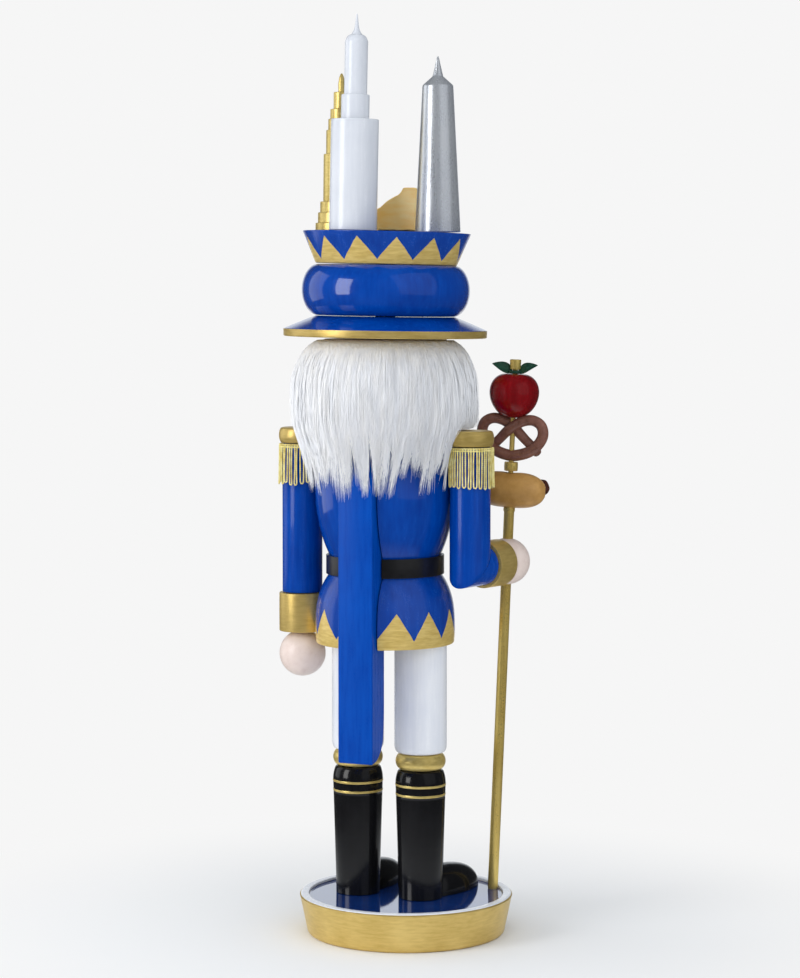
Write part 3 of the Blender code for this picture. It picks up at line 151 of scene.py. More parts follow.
def turnedPiece(name, profile, paints, place, sides=96, loop=False, bands=None, **facts):
    # P(u, a) = place + (r(u) cos a, r(u) sin a, z(u)), the profile running from the top down its outer side
    profile = np.asarray(profile, dtype=float)
    bands = np.zeros(len(profile) - (0 if loop else 1), dtype=int) if bands is None else np.asarray(bands)
    # a ring near each rim keeps the bend's shading off the flat end
    if not loop:
        profile = np.vstack([profile[:1], 0.03 * profile[:1] + 0.97 * profile[1:2], profile[1:-1],
                             0.97 * profile[-2:-1] + 0.03 * profile[-1:], profile[-1:]])
        bands = np.concatenate([bands[:1], bands, bands[-1:]])
    a = fullTurn(sides)
    radius, height = profile[:, :1], profile[:, 1:]
    grid = table(radius * np.cos(a), radius * np.sin(a), height + 0 * a)
    origin, axes = place
    points = grid.reshape(-1, 3) @ axes + origin
    rows = len(profile)
    index = np.arange(rows * sides).reshape(rows, sides)
    if loop:
        index = np.vstack([index, index[:1]])
    left, right = index, np.roll(index, -1, axis=1)
    quads = table(left[:-1], left[1:], right[1:], right[:-1])
    faces, which = [], []
    for row, quad in enumerate(quads):
        if not loop and row == 0 and radius[0, 0] < 1e-7:
            made = quad[:, [0, 1, 2]]
            made[:, 0] = 0
        elif not loop and row == len(quads) - 1 and radius[-1, 0] < 1e-7:
            made = quad[:, [0, 1, 3]]
            made[:, 1] = quad[0, 1]
        else:
            made = quad
        faces += made.tolist()
        which += [int(bands[row])] * len(made)
    points, faces = dropUnused(points, faces)
    return makePiece(name, points, faces, paints, which, **facts)


def dropUnused(points, faces):
    # poles keep one point of their row, and the others go
    used = np.zeros(len(points), dtype=bool)
    for face in faces:
        used[face] = True
    renumber = np.cumsum(used) - 1
    return points[used], [renumber[face].tolist() for face in faces]


def levelSlab(low, high):
    # a place for a level slab between two heights, its outline in x and y from the figure's axis
    return np.array([axisX, axisY, (low[2] + high[2]) / 2]), np.array([[0.0, 0, 1], [1, 0, 0], [0, 1, 0]])


def slabPiece(name, outline, width, edge, paints, place, steps=3, which=None, **facts):
    # outline (u, v) carried across its width w; near both faces it shrinks by e(1 - sin t) over e(1 - cos t)
    outline = np.asarray(outline, dtype=float)
    nextPoint, lastPoint = np.roll(outline, -1, axis=0), np.roll(outline, 1, axis=0)
    along = nextPoint - lastPoint
    normal = table(along[:, 1], -along[:, 0])
    normal /= np.linalg.norm(normal, axis=1)[:, None].clip(1e-12)
    area = 0.5 * np.sum(outline[:, 0] * nextPoint[:, 1] - nextPoint[:, 0] * outline[:, 1])
    if area < 0:
        outline, normal = outline[::-1], -normal[::-1]
    t = np.linspace(0, math.pi / 2, steps + 1)
    across = np.concatenate([-width / 2 + edge * (1 - np.cos(t)), (width / 2 - edge * (1 - np.cos(t)))[::-1]])
    inset = np.concatenate([edge * (1 - np.sin(t)), (edge * (1 - np.sin(t)))[::-1]])
    # one more ring inside each flat face keeps the bend's shading off the face
    across, inset = (np.concatenate([row[:1], row, row[-1:]]) for row in (across, inset))
    inset[[0, -1]] += 0.08 * mm
    flat = outline[None] - inset[:, None, None] * normal[None]
    grid = np.concatenate([np.broadcast_to(across[:, None, None], flat.shape[:2] + (1,)), flat], axis=-1)
    origin, axes = place
    points, faces = gridMesh(grid)
    if np.linalg.det(axes) < 0:
        faces = [face[::-1] for face in faces]
    return makePiece(name, points @ axes + origin, faces, paints, which, **facts)


def rodPiece(name, path, radii, paints, sides=16, squash=1.0, across=None, **facts):
    # P(s, a) = c(s) + r(s)(n cos a + b sin a), with rounded ends; n and b follow the path without twist
    points, faces = rodMesh(path, radii, sides, squash, across)
    return makePiece(name, points, faces, paints, **facts)


def pathFrames(path, across=None):
    # two directions square to a path at each point, carried on without twist: each side is the one before
    # it, less its part along the path, at length 1
    path = np.asarray(path, dtype=float)
    along = np.gradient(path, axis=0)
    along /= np.linalg.norm(along, axis=1)[:, None]
    side = np.cross(along[0], across if across is not None else [0.31, 0.17, 0.93])
    side /= np.linalg.norm(side)
    sides = [side]
    for step in along[1:]:
        side = side - np.dot(side, step) * step
        side = side / np.linalg.norm(side)
        sides.append(side)
    sides = np.array(sides)
    return path, sides, np.cross(along, sides)


def rodMesh(path, radii, sides=16, squash=1.0, across=None):
    # a rod along a path: point + radius * (side * cos a + up * sin a * squash)
    path, side, up = pathFrames(path, across)
    a = fullTurn(sides)
    ring = side[:, None] * np.cos(a)[None, :, None] + up[:, None] * np.sin(a)[None, :, None] * squash
    radii = np.broadcast_to(np.asarray(radii, dtype=float), (len(path),))
    return gridMesh(path[:, None] + radii[:, None, None] * ring)


def joinMeshes(parts):
    # several meshes as one
    points, faces, start = [], [], 0
    for part, quads in parts:
        points.append(part)
        faces += [[corner + start for corner in face] for face in quads]
        start += len(part)
    return np.vstack(points), faces


def carve(piece, tools):
    # a live Boolean is baked into the piece's own mesh, so nothing is left on it
    for tool in tools if isinstance(tools, (list, tuple)) else [tools]:
        cutter = piece.modifiers.new("carve", "BOOLEAN")
        cutter.operation, cutter.solver, cutter.object = "DIFFERENCE", "EXACT", tool
    graph = bpy.context.evaluated_depsgraph_get()
    graph.update()
    carved = bpy.data.meshes.new_from_object(piece.evaluated_get(graph))
    piece.modifiers.clear()
    old, piece.data = piece.data, carved
    carved.name = piece.name
    bpy.data.meshes.remove(old)
    carved.shade_smooth()
    carved.set_sharp_from_angle(angle=math.radians(40))
    return piece


def carvingTool(name, points, faces):
    # a hidden solid that only cuts others
    mesh = bpy.data.meshes.new(name)
    mesh.from_pydata(np.asarray(points).tolist(), [], faces)
    tool = bpy.data.objects.new(name, mesh)
    bpy.context.scene.collection.objects.link(tool)
    tool.hide_render = True
    return tool


def boxTool(name, lower, upper):
    # a block between two corners that only cuts others
    corners = [(x, y, z) for x in (lower[0], upper[0]) for y in (lower[1], upper[1])
               for z in (lower[2], upper[2])]
    sides = [[0, 1, 3, 2], [4, 6, 7, 5], [0, 4, 5, 1], [2, 3, 7, 6], [0, 2, 6, 4], [1, 5, 7, 3]]
    return carvingTool(name, corners, sides)


def dropTools(*tools):
    # takes the cutting solids away again
    for tool in tools:
        mesh = tool.data
        bpy.data.objects.remove(tool)
        bpy.data.meshes.remove(mesh)


# paints
def screenColour(red, green, blue):
    # 0-255 as seen on a screen, to the linear values that a shader takes
    value = np.array([red, green, blue]) / 255
    return (*np.where(value <= 0.04045, value / 12.92, ((value + 0.055) / 1.055) ** 2.4), 1.0)


class PaintKit:
    # a short hand for node trees: add a node, set its values, and wire it up
    def __init__(self, name):
        self.material = bpy.data.materials.new(name)
        self.material.use_nodes = True
        self.tree = self.material.node_tree
        self.shader = self.tree.nodes["Principled BSDF"]
        self.place = self.add("ShaderNodeTexCoord").outputs["Object"]

    def add(self, kind, **values):
        node = self.tree.nodes.new(kind)
        for key, value in values.items():
            setattr(node, key, value)
        return node

    def wire(self, source, target):
        self.tree.links.new(source, target)

    def put(self, socket, value):
        if isinstance(value, bpy.types.NodeSocket):
            self.wire(value, socket)
        else:
            socket.default_value = value

    def noise(self, scale, detail=3.0, rough=0.55, stretch=(1, 1, 1)):
        mapping = self.add("ShaderNodeMapping")
        self.wire(self.place, mapping.inputs["Vector"])
        mapping.inputs["Scale"].default_value = stretch
        node = self.add("ShaderNodeTexNoise")
        self.wire(mapping.outputs["Vector"], node.inputs["Vector"])
        node.inputs["Scale"].default_value = scale
        node.inputs["Detail"].default_value = detail
        node.inputs["Roughness"].default_value = rough
        return node.outputs["Fac"]

    def math(self, operation, first, second=0.0):
        node = self.add("ShaderNodeMath", operation=operation)
        self.put(node.inputs[0], first)
        self.put(node.inputs[1], second)
        return node.outputs[0]

    def plus(self, first, second):
        return self.math("ADD", first, second)

    def minus(self, first, second):
        return self.math("SUBTRACT", first, second)

    def times(self, first, second):
        return self.math("MULTIPLY", first, second)

    def ramp(self, value, low, high, fromLow=0.0, fromHigh=1.0, smooth=False):
        node = self.add("ShaderNodeMapRange", interpolation_type="SMOOTHSTEP" if smooth else "LINEAR")
        self.put(node.inputs["Value"], value)
        node.inputs["From Min"].default_value, node.inputs["From Max"].default_value = fromLow, fromHigh
        node.inputs["To Min"].default_value, node.inputs["To Max"].default_value = low, high
        return node.outputs["Result"]

    def blend(self, factor, first, second):
        node = self.add("ShaderNodeMix", data_type="RGBA")
        self.put(node.inputs[0], factor)
        self.put(node.inputs[6], first)
        self.put(node.inputs[7], second)
        return node.outputs[2]

    def bump(self, height, distance, strength=1.0, before=None):
        node = self.add("ShaderNodeBump")
        node.inputs["Distance"].default_value = distance
        node.inputs["Strength"].default_value = strength
        self.put(node.inputs["Height"], height)
        if before:
            self.wire(before, node.inputs["Normal"])
        return node.outputs["Normal"]

    def set(self, **values):
        for key, value in values.items():
            self.put(self.shader.inputs[key.replace("_", " ")], value)
        return self.material


def brushedPaint(name, colour, darker, roughness=0.24, metallic=0.0, streak=(1, 1, 0.12), streakScale=420,
                 lumps=0.00010, grit=0.000012, coat=0.0, spread=0.07, specular=0.5):
    # brushed-on paint over turned wood: long streaks, soft lumps from wood below, fine grit, uneven gloss
    kit = PaintKit(name)
    streaks = kit.noise(streakScale, 4.0, 0.6, streak)
    clouds = kit.noise(55, 3.0, 0.5)
    fine = kit.noise(2600, 2.0, 0.5)
    tone = kit.plus(kit.times(streaks, 0.55), kit.times(clouds, 0.45))
    colourOut = kit.blend(kit.ramp(tone, 0.0, 1.0, 0.36, 0.64), screenColour(*darker), screenColour(*colour))
    gloss = kit.ramp(kit.plus(kit.times(streaks, 0.5), kit.times(fine, 0.5)),
                     roughness - spread, roughness + spread, 0.3, 0.7)
    normal = kit.bump(kit.noise(150, 2.0, 0.5), lumps, 0.6)
    normal = kit.bump(streaks, grit * 2.2, 0.8, normal)
    normal = kit.bump(fine, grit, 0.7, normal)
    kit.set(Base_Color=colourOut, Roughness=gloss, Metallic=metallic, Normal=normal,
            Specular_IOR_Level=specular)
    if coat:
        kit.set(Coat_Weight=coat, Coat_Roughness=0.06)
    return kit


def zigzagMask(kit, place, peak, pitch, high, thinnest, seam=0.0):
    # painted triangles round a turned piece: gold where z < thinnest + tooth height * triangle wave; peaks
    # lie at the angle peak and every pitch from it, the two spans before it share seam degrees more
    origin, axes = place
    away = kit.add("ShaderNodeVectorMath", operation="SUBTRACT")
    kit.wire(kit.place, away.inputs[0])
    away.inputs[1].default_value = tuple(origin)
    k = math.radians(peak)
    local = []
    for direction in (math.cos(k) * axes[0] + math.sin(k) * axes[1],
                      math.cos(k) * axes[1] - math.sin(k) * axes[0], axes[2]):
        part = kit.add("ShaderNodeVectorMath", operation="DOT_PRODUCT")
        kit.wire(away.outputs["Vector"], part.inputs[0])
        part.inputs[1].default_value = tuple(direction)
        local.append(part.outputs["Value"])
    angle = kit.times(kit.math("ARCTAN2", local[1], local[0]), 180 / math.pi)
    turns = kit.plus(kit.times(angle, 1 / pitch), kit.ramp(angle, seam / pitch, 0.0, -2 * pitch - seam, 0.0))
    wave = kit.minus(1.0, kit.times(kit.math("PINGPONG", turns, 0.5), 2.0))
    uneven = kit.times(kit.minus(kit.noise(140, 2.0, 0.5), 0.5), 1.6 * mm)
    rough = kit.times(kit.minus(kit.noise(900, 2.0, 0.5), 0.5), 0.35 * mm)
    edge = kit.plus(kit.times(wave, high - thinnest), thinnest)
    edge = kit.plus(edge, kit.plus(uneven, rough))
    height = kit.minus(edge, local[2])
    return kit.ramp(height, 0.0, 1.0, -0.06 * mm, 0.06 * mm, True)


def zigzagGold(kit):
    # the gold laid over the triangles: level streaks between its two tones
    streaks = kit.noise(900, 4.0, 0.6, (0.15, 0.15, 1))
    return {"Base Color": kit.blend(kit.ramp(streaks, 0, 1, 0.36, 0.64), screenColour(*goldTones["dark"]),
                                    screenColour(*goldTones["light"])),
            "Roughness": 0.40, "Metallic": 0.3}


def overpaint(kit, mask, other, rise=0.00006):
    # a second paint laid over the first where mask is 1, with a slightly raised edge
    for name in ("Base Color", "Roughness"):
        first, second = kit.shader.inputs[name], other[name]
        base = first.links[0].from_socket
        if name == "Base Color":
            kit.put(first, kit.blend(mask, base, second))
        else:
            node = kit.add("ShaderNodeMix", data_type="FLOAT")
            kit.put(node.inputs["Factor"], mask)
            kit.put(node.inputs["A"], base)
            kit.put(node.inputs["B"], second)
            kit.put(first, node.outputs["Result"])
    kit.put(kit.shader.inputs["Metallic"], kit.times(mask, other["Metallic"]))
    normal = kit.shader.inputs["Normal"].links[0].from_socket
    kit.put(kit.shader.inputs["Normal"], kit.bump(mask, rise, 1.0, normal))
    return kit.material


def toothedPaint(name, place, s, high, seam=0.0):
    # blue paint with gold triangles that stand on the piece's foot
    kit = brushedPaint(name, blueTones["light"], blueTones["dark"], 0.24, streak=(1, 1, 0.10), coat=0.2)
    mask = zigzagMask(kit, place, s["toothPeak"], s["toothPitch"], high, s["toothFoot"], seam)
    return overpaint(kit, mask, zigzagGold(kit))


goldTones = dict(light=(236, 208, 128), dark=(214, 182, 98))
blueTones = dict(light=(0, 68, 164), dark=(0, 54, 143))

blueTurned = brushedPaint("blueLacquer", blueTones["light"], blueTones["dark"], 0.23, streak=(1, 1, 0.10),
                          coat=0.9, specular=0.12)
blueUpright = brushedPaint("blueLacquerUpright", blueTones["light"], blueTones["dark"], 0.25,
                           streak=(1, 1, 0.08), streakScale=520, coat=0.3, specular=0.12)
# the blue lacquer again for the lever, without coat; its lighter tone is painted light on the lever's flat
# back
blueLeverLit = brushedPaint("blueLacquerLeverLit", (0, 74, 172), (0, 62, 156), 0.30, streak=(1, 1, 0.08),
                         streakScale=520, specular=0.1)
goldRound = brushedPaint("goldPaint", (224, 196, 120), (200, 170, 92), 0.38, 0.6, streak=(0.15, 0.15, 1),
                         streakScale=900, lumps=0.00006, grit=0.000020, spread=0.10)
# a copy of the gold paint with finer streaks and a lighter tone; the lighter tone is painted light on small
# pieces in shade, such as the knee rings under the skirt
goldFineLit = brushedPaint("goldPaintFineLit", (244, 220, 140), (218, 190, 108), 0.34, 0.65, streak=(0.3, 0.3, 1),
                        streakScale=1100, lumps=0.00005, grit=0.000016)
whiteGloss = brushedPaint("whiteLacquer", (234, 236, 241), (224, 227, 235), 0.24, streak=(1, 1, 0.08),
                          coat=0.2, grit=0.000010, lumps=0.00008)
blackGloss = brushedPaint("blackLacquer", (22, 22, 24), (15, 15, 17), 0.20, streak=(1, 1, 0.1), coat=0.3,
                          specular=0.22)
# a darker copy of the white lacquer for the tall tower; its darker tone is painted shade that holds down the
# strong top light on it
towerWhite = brushedPaint("towerLacquerDimmed", (214, 217, 224), (204, 208, 216), 0.24, streak=(1, 1, 0.08),
                          coat=0.2, grit=0.000010, lumps=0.00008)
silverPaint = brushedPaint("silverPaint", (246, 250, 255), (234, 239, 247), 0.30, 0.75, streak=(1, 1, 0.06),
                           streakScale=800, lumps=0.00006, grit=0.000020)
skinPaint = brushedPaint("skinPaint", (232, 216, 207), (224, 205, 196), 0.30, streak=(1, 1, 1),
                         streakScale=200)
floorBlue = brushedPaint("floorLacquer", (16, 60, 134), (8, 48, 120), 0.05, streak=(1, 1, 1), streakScale=160,
                         lumps=0.00004, grit=0.000004, coat=1.0, spread=0.02, specular=0.9)
# a lighter copy of the gold paint for the staff and its parts; its lighter tone is painted light that makes
# up for the shade on the thin rod
staffGoldLit = brushedPaint("staffGoldLit", (250, 222, 132), (222, 190, 100), 0.30, 0.65, streak=(1, 1, 0.03),
                         streakScale=700, lumps=0.00005, grit=0.000016)
print("paints mixed")


# the round base
baseShape = dict(rimPaint=0.5 * mm, topRadius=53.7 * mm, footRadius=49.6 * mm, height=20 * mm,
                 floorRadius=48.8 * mm, recess=1.5 * mm, sides=160)


def makeBase():
    # the base: a cone with a white rim and a sunken floor, its slope = (top radius - foot radius) / height
    s = baseShape
    r, f, h = s["topRadius"], s["footRadius"], s["height"]
    slope = (r - f) / h
    inside = s["floorRadius"]
    outline = [(0, h - s["recess"]), (inside - 0.5 * mm, h - s["recess"]),
               (inside, h - s["recess"] + 0.2 * mm), (inside + 0.2 * mm, h - 0.15 * mm),
               (inside + 0.9 * mm, h), (r - 1.1 * mm, h), (r, h - 1.0 * mm),
               (r - 1.3 * mm * slope, h - 1.3 * mm), (r - 4 * mm * slope, h - 4 * mm),
               (r - 10 * mm * slope, h - 10 * mm), (f + 0.7 * mm * slope, 1.0 * mm),
               (f - 0.9 * mm, 0.0), (0, 0)]
    profile = bendCorners(outline, 1.0 * mm, 4)
    low, high = profile[1:, 1], profile[:-1, 1]
    bands = np.where(low < h - s["rimPaint"] - 0.1 * mm, 0, 1)          # 0 gold, 1 white rim, 2 blue floor
    floorRows = (high <= h - s["recess"] + 0.25 * mm) & (profile[1:, 0] <= inside + 0.05 * mm) & (low > h / 2)
    bands[floorRows] = 2
    return turnedPiece("baseTurning", profile, [goldRound, whiteGloss, floorBlue],
                       uprightFrame(0, 0), s["sides"], bands=bands, stands="base_disc", slot="base")


# legs: boots with toes, knee rings, trouser legs
legShape = dict(bootTop=11.2 * mm, bootCalf=12.7 * mm, bootAnkle=11.1 * mm, calfDrop=6.8 * mm,
                lineDrops=(6.9, 11.7), lineWidth=1.15 * mm, toeHalf=dict(left=10.5 * mm, right=11.3 * mm),
                toeHeight=dict(left=12.4 * mm, right=13.2 * mm), toeLength=45.5 * mm,
                toeTurn=dict(left=-2.5, right=-14.0), ringRadius=12.6 * mm, ringNeck=9.8 * mm,
                trouser=13.2 * mm, trouserEnd=11.3 * mm, sides=96)


def bootProfile(foot, top):
    # r falls as a square from calf to top, straight down to the ankle; the lines are shallow beads
    s = legShape
    height = top - foot
    calf = height - s["calfDrop"]
    u = np.linspace(0, 1, 9)
    upper = table(s["bootCalf"] - (s["bootCalf"] - s["bootTop"]) * u**2, calf + (height - calf) * u)[::-1]
    z = np.linspace(calf, 0, 40)
    marks = s["lineWidth"] * np.array([0, 0.25, 0.75, 1.0])
    z = np.sort(np.concatenate([z] + [height - d * mm - marks for d in s["lineDrops"]]))[::-1]
    r = s["bootAnkle"] + (s["bootCalf"] - s["bootAnkle"]) * (z / calf) ** 1.25
    inLine = np.zeros(len(z), dtype=bool)
    for drop in s["lineDrops"]:
        inside = (z < height - drop * mm - 1e-7) & (z > height - drop * mm - s["lineWidth"] + 1e-7)
        inLine |= inside
        r = r + np.where(inside, 0.10 * mm, 0)
    lower = table(r, z)
    rim = np.array([[0, height], [s["bootTop"] - 0.9 * mm, height],
                    [s["bootTop"] - 0.2 * mm, height - 0.25 * mm]])
    sole = np.array([[s["bootAnkle"] - 0.4 * mm, -0.15 * mm], [0, -0.15 * mm]])
    profile = np.vstack([rim, upper[1:], lower, sole])
    offset = len(rim) + len(upper) - 1
    gold = np.zeros(len(profile) - 1, dtype=int)
    inside = np.where(inLine)[0] + offset
    gold[inside] = 1
    gold[inside - 1] = 1
    profile[:, 1] += foot
    return profile, gold


def toeSurface(side, centre, foot):
    # P(u, v) = (w cos u c(v), l sin u c(v), h sin^p v), a flattened dome with a fuller tip, its sole level
    s = legShape
    u = np.linspace(0, 2 * math.pi, 73)[:-1]
    v = np.linspace(0, math.pi / 2, 22)
    cosV, sinV = np.cos(v)[:, None], np.sin(v)[:, None]
    length, half = s["toeLength"] / 2, s["toeHalf"][side]
    full = np.abs(cosV) ** 0.80
    x = half * np.sign(np.cos(u)) * np.abs(np.cos(u)) ** 0.92 * full * (1 + 0.05 * np.sin(u))
    y = -length + length * np.sin(u) * full
    z = s["toeHeight"][side] * np.abs(sinV) ** 0.92 * (1 - 0.10 * (np.sin(u)) ** 2 * cosV) + 0 * u
    turn = math.radians(s["toeTurn"][side])
    grid = table(centre[0] + x * math.cos(turn) - y * math.sin(turn),
                 centre[1] + x * math.sin(turn) + y * math.cos(turn), foot + z)
    points = grid.reshape(-1, 3)
    rows, columns = grid.shape[:2]
    index = np.arange(rows * columns).reshape(rows, columns)
    right = np.roll(index, -1, axis=1)
    quads = table(index[:-1], right[:-1], right[1:], index[1:]).reshape(-1, 4)
    quads = quads[: (rows - 2) * columns].tolist()
    tip = int(index[-1, 0])
    fan = [[int(index[-2, k]), int(right[-2, k]), tip] for k in range(columns)]
    return points, quads + fan + [index[0][::-1].tolist()]


def makeLegs():
    # boots with toes, knee rings, and trouser legs that round in at the foot by the root of 1 - u^2
    s = legShape
    for side in ("left", "right"):
        at = middle(f"boot_{side}")
        foot, top = levels(f"boot_{side}")
        profile, gold = bootProfile(foot, top)
        turnedPiece(f"boot.{side}", profile, [blackGloss, goldFineLit], uprightFrame(*at),
                    s["sides"], bands=gold, stands=f"boot_{side}", slot="boot")
        points, faces = toeSurface(side, at, foot - 0.1 * mm)
        points, faces = dropUnused(points, faces)
        makePiece(f"toe.{side}", points, faces, [blackGloss], stands=f"toe_{side}", slot="boot")
        foot, top = levels(f"knee_ring_{side}")
        half, centre = (top - foot) / 2, (top + foot) / 2
        a = np.linspace(math.pi / 2, -math.pi / 2, 25)
        bulge = table(s["ringNeck"] + (s["ringRadius"] - s["ringNeck"]) * np.cos(a),
                      centre + half * np.sin(a))
        ring = np.vstack([[0, top], bulge, [0, foot]])
        turnedPiece(f"kneeRing.{side}", ring, [goldFineLit], uprightFrame(*at), s["sides"],
                    stands=f"knee_ring_{side}", slot="knee_ring")
        foot, top = levels(f"trouser_{side}")
        u = np.linspace(0, 1, 10)
        end = table(s["trouserEnd"] + (s["trouser"] - s["trouserEnd"]) * np.sqrt(1 - u**2),
                    foot + 4.0 * mm * (1 - u))
        cloth = np.vstack([[0, top], [s["trouser"], top], [s["trouser"], (top + foot) / 2], end, [0, foot]])
        turnedPiece(f"trouser.{side}", cloth, [whiteGloss], uprightFrame(*at), s["sides"],
                    stands=f"trouser_{side}", slot="trouser")


# coat: skirt, torso, belt, buckle, braid, and the slot that the lever lies in
coatShape = dict(slotDrop=14.8 * mm, slotPlay=0.7 * mm, slotWall=22.1 * mm, slotSlope=18.5 * mm,
                 mouthTop=11.9 * mm, skirtRadius=35.1 * mm, hemRadius=34.7 * mm, waist=28.3 * mm,
                 wideAt=6.0 * mm, beltRise=4.8 * mm, torsoRadius=35.2 * mm, torsoWide=38.5 * mm,
                 torsoTop=25.8 * mm, toothPeak=122.2, toothPitch=28.94, toothSeam=12.72, toothTop=18.2 * mm,
                 toothFoot=4.4 * mm, sides=160)


def skirtProfile(foot, top):
    # a bell from its widest level, u = 0, up to the belt, u = 1: radius = skirt - (skirt - waist) * u^3
    s = coatShape
    beltFoot = top - s["beltRise"]
    u = np.linspace(0, 1, 26)
    bell = table(s["skirtRadius"] - (s["skirtRadius"] - s["waist"]) * u**3,
                 foot + s["wideAt"] + (beltFoot - foot - s["wideAt"]) * u)[::-1]
    edge = [[s["skirtRadius"], foot + s["wideAt"]], [s["hemRadius"], foot], [s["hemRadius"] - 4 * mm, foot]]
    hem = bendCorners(edge, 0.8 * mm, 4)
    return np.vstack([[0, top], [s["waist"], top], bell, hem[1:], [0, foot]])


def torsoProfile(foot, top):
    # above the widest level radius = widest - (widest - top) * u^2.6, below it radius = widest - (widest -
    # waist) * u^2.2, with u counted from that level
    s = coatShape
    wide, beltTop = foot + s["torsoWide"], foot + s["beltRise"]
    u = np.linspace(0, 1, 26)
    upper = table(s["torsoRadius"] - (s["torsoRadius"] - s["torsoTop"]) * u**2.6,
                  wide + (top - wide) * u)[::-1]
    lower = table(s["torsoRadius"] - (s["torsoRadius"] - s["waist"]) * u**2.2,
                  wide - (wide - beltTop) * u)
    body = np.vstack([upper, lower[1:]])
    return np.vstack([[0, top], [body[0, 0] - 0.6 * mm, top], body, [s["waist"], foot], [0, foot]])


def torsoRadius(height):
    # the torso's radius at any level, by torsoProfile's two powers
    s = coatShape
    foot, top = levels("torso")
    wide, beltTop = foot + s["torsoWide"], foot + s["beltRise"]
    up = np.clip((height - wide) / (top - wide), 0, 1)
    down = np.clip((wide - height) / (wide - beltTop), 0, 1)
    above = s["torsoRadius"] - (s["torsoRadius"] - s["torsoTop"]) * up**2.6
    below = s["torsoRadius"] - (s["torsoRadius"] - s["waist"]) * down**2.2
    return np.where(height > wide, above, below)


def slotTool():
    # a prism as wide as the lever and its play: the mouth in front, a floor that slopes back through the
    # torso's top, and the channel down the back
    leverLow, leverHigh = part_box("jaw_lever")
    s = coatShape
    half = (leverHigh[0] - leverLow[0]) / 2 + s["slotPlay"]
    floor, wall = levels("torso")[1] - s["slotDrop"], axisY + s["slotWall"]
    top = levels("head")[0] + s["mouthTop"]
    ahead, behind, below = -80 * mm, 90 * mm, 70 * mm
    side = [(ahead, floor), (axisY + 2 * mm, floor), (wall, floor - s["slotSlope"]), (wall, below),
            (behind, below), (behind, top), (ahead, top)]
    points = [(axisX - half, y, z) for y, z in side] + [(axisX + half, y, z) for y, z in side]
    n = len(side)
    faces = [list(range(n - 1, -1, -1)), list(range(n, 2 * n))]
    faces += [[k, (k + 1) % n, n + (k + 1) % n, n + k] for k in range(n)]
    return carvingTool("slotTool", points, faces)


def makeCoat(tool):
    # the skirt with its painted triangles, and the torso, both cut by the lever's slot
    s = coatShape
    foot, top = levels("coat_skirt")
    paint = toothedPaint("skirtPaint", uprightFrame(axisX, axisY, foot), s, s["toothTop"], s["toothSeam"])
    skirt = turnedPiece("coatSkirt", skirtProfile(foot, top), [paint], uprightFrame(axisX, axisY), s["sides"],
                        stands="coat_skirt", slot="coat")
    carve(skirt, tool)
    foot, top = levels("torso")
    torso = turnedPiece("coatTorso", torsoProfile(foot, top), [blueTurned],
                        uprightFrame(axisX, axisY), s["sides"], stands="torso", slot="coat")
    carve(torso, tool)
    makeBelt(tool)


beltShape = dict(inner=28.45 * mm, outer=29.7 * mm, edge=0.35 * mm)


def makeBelt(tool):
    # a flat band cut by the slot, and a buckle frame with rounded corners
    s = beltShape
    foot, top = levels("belt")
    loop = bendCorners([(s["inner"], top), (s["outer"], top), (s["outer"] + 0.02 * mm, foot),
                        (s["inner"], foot)], s["edge"], 4, True)
    kit = brushedPaint("beltBand", (26, 26, 28), (18, 18, 20), 0.34, streak=(0.4, 0.4, 1), streakScale=700,
                       coat=0.15, lumps=0.00004, grit=0.000014)
    belt = turnedPiece("beltBand", loop, [kit], uprightFrame(axisX, axisY), 200, loop=True,
                       stands="belt", slot="belt")
    carve(belt, tool)
    low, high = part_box("belt_buckle")
    x, z = (low[0] + high[0]) / 2, (low[2] + high[2]) / 2
    half, tall = (high[0] - low[0]) / 2, (high[2] - low[2]) / 2
    outX, outZ = half - 1.1 * mm, tall - 1.1 * mm
    frameLine = bendCorners([(outX, outZ), (-outX, outZ), (-outX, -outZ), (outX, -outZ)], 1.2 * mm, 5, True)
    line = np.array([[x + u, (low[1] + high[1]) / 2 - 0.02 * mm, z + v] for u, v in frameLine])
    parts = [closedRod(line, 1.05 * mm, 14, 0.58)]
    tongue = np.array([[x + half - 1.3 * mm, low[1] + 0.5 * mm, z], [x, low[1] + 0.3 * mm, z],
                       [x - half + 1.0 * mm, low[1] + 0.3 * mm, z]])
    parts.append(rodMesh(bendCorners(tongue, 2 * mm, 6), 0.55 * mm, 10))
    points, faces = joinMeshes(parts)
    makePiece("beltBuckle", points, faces, [goldFineLit], stands="belt_buckle", slot="trim_gold")


def closedRod(path, radius, sides, squash):
    # the same rod as rodMesh on a closed loop in the xz plane, flattened towards that plane by squash
    path = np.asarray(path, dtype=float)
    along = np.roll(path, -1, axis=0) - np.roll(path, 1, axis=0)
    along /= np.linalg.norm(along, axis=1)[:, None]
    out = np.array([0.0, 1.0, 0.0])
    side = np.cross(along, out)
    a = fullTurn(sides)
    ring = side[:, None] * np.cos(a)[None, :, None] + squash * out * np.sin(a)[None, :, None]
    grid = path[:, None] + radius * ring
    index = np.arange(len(path) * sides).reshape(len(path), sides)
    right, below = np.roll(index, -1, axis=1), np.roll(index, -1, axis=0)
    quads = table(index, right, np.roll(right, -1, axis=0), below).reshape(-1, 4)
    cross = np.cross(grid.reshape(-1, 3)[quads[0, 1]] - grid.reshape(-1, 3)[quads[0, 0]],
                     grid.reshape(-1, 3)[quads[0, 3]] - grid.reshape(-1, 3)[quads[0, 0]])
    outward = grid.reshape(-1, 3)[quads[0]].mean(0) - path[0]
    if np.dot(cross, outward) < 0:
        quads = quads[:, ::-1]
    return grid.reshape(-1, 3), quads.tolist()


braidShape = dict(width=4.4 * mm, thick=0.75 * mm, buttons=5, pitch=9.8 * mm, first=10.0 * mm,
                  buttonRadius=2.55 * mm)


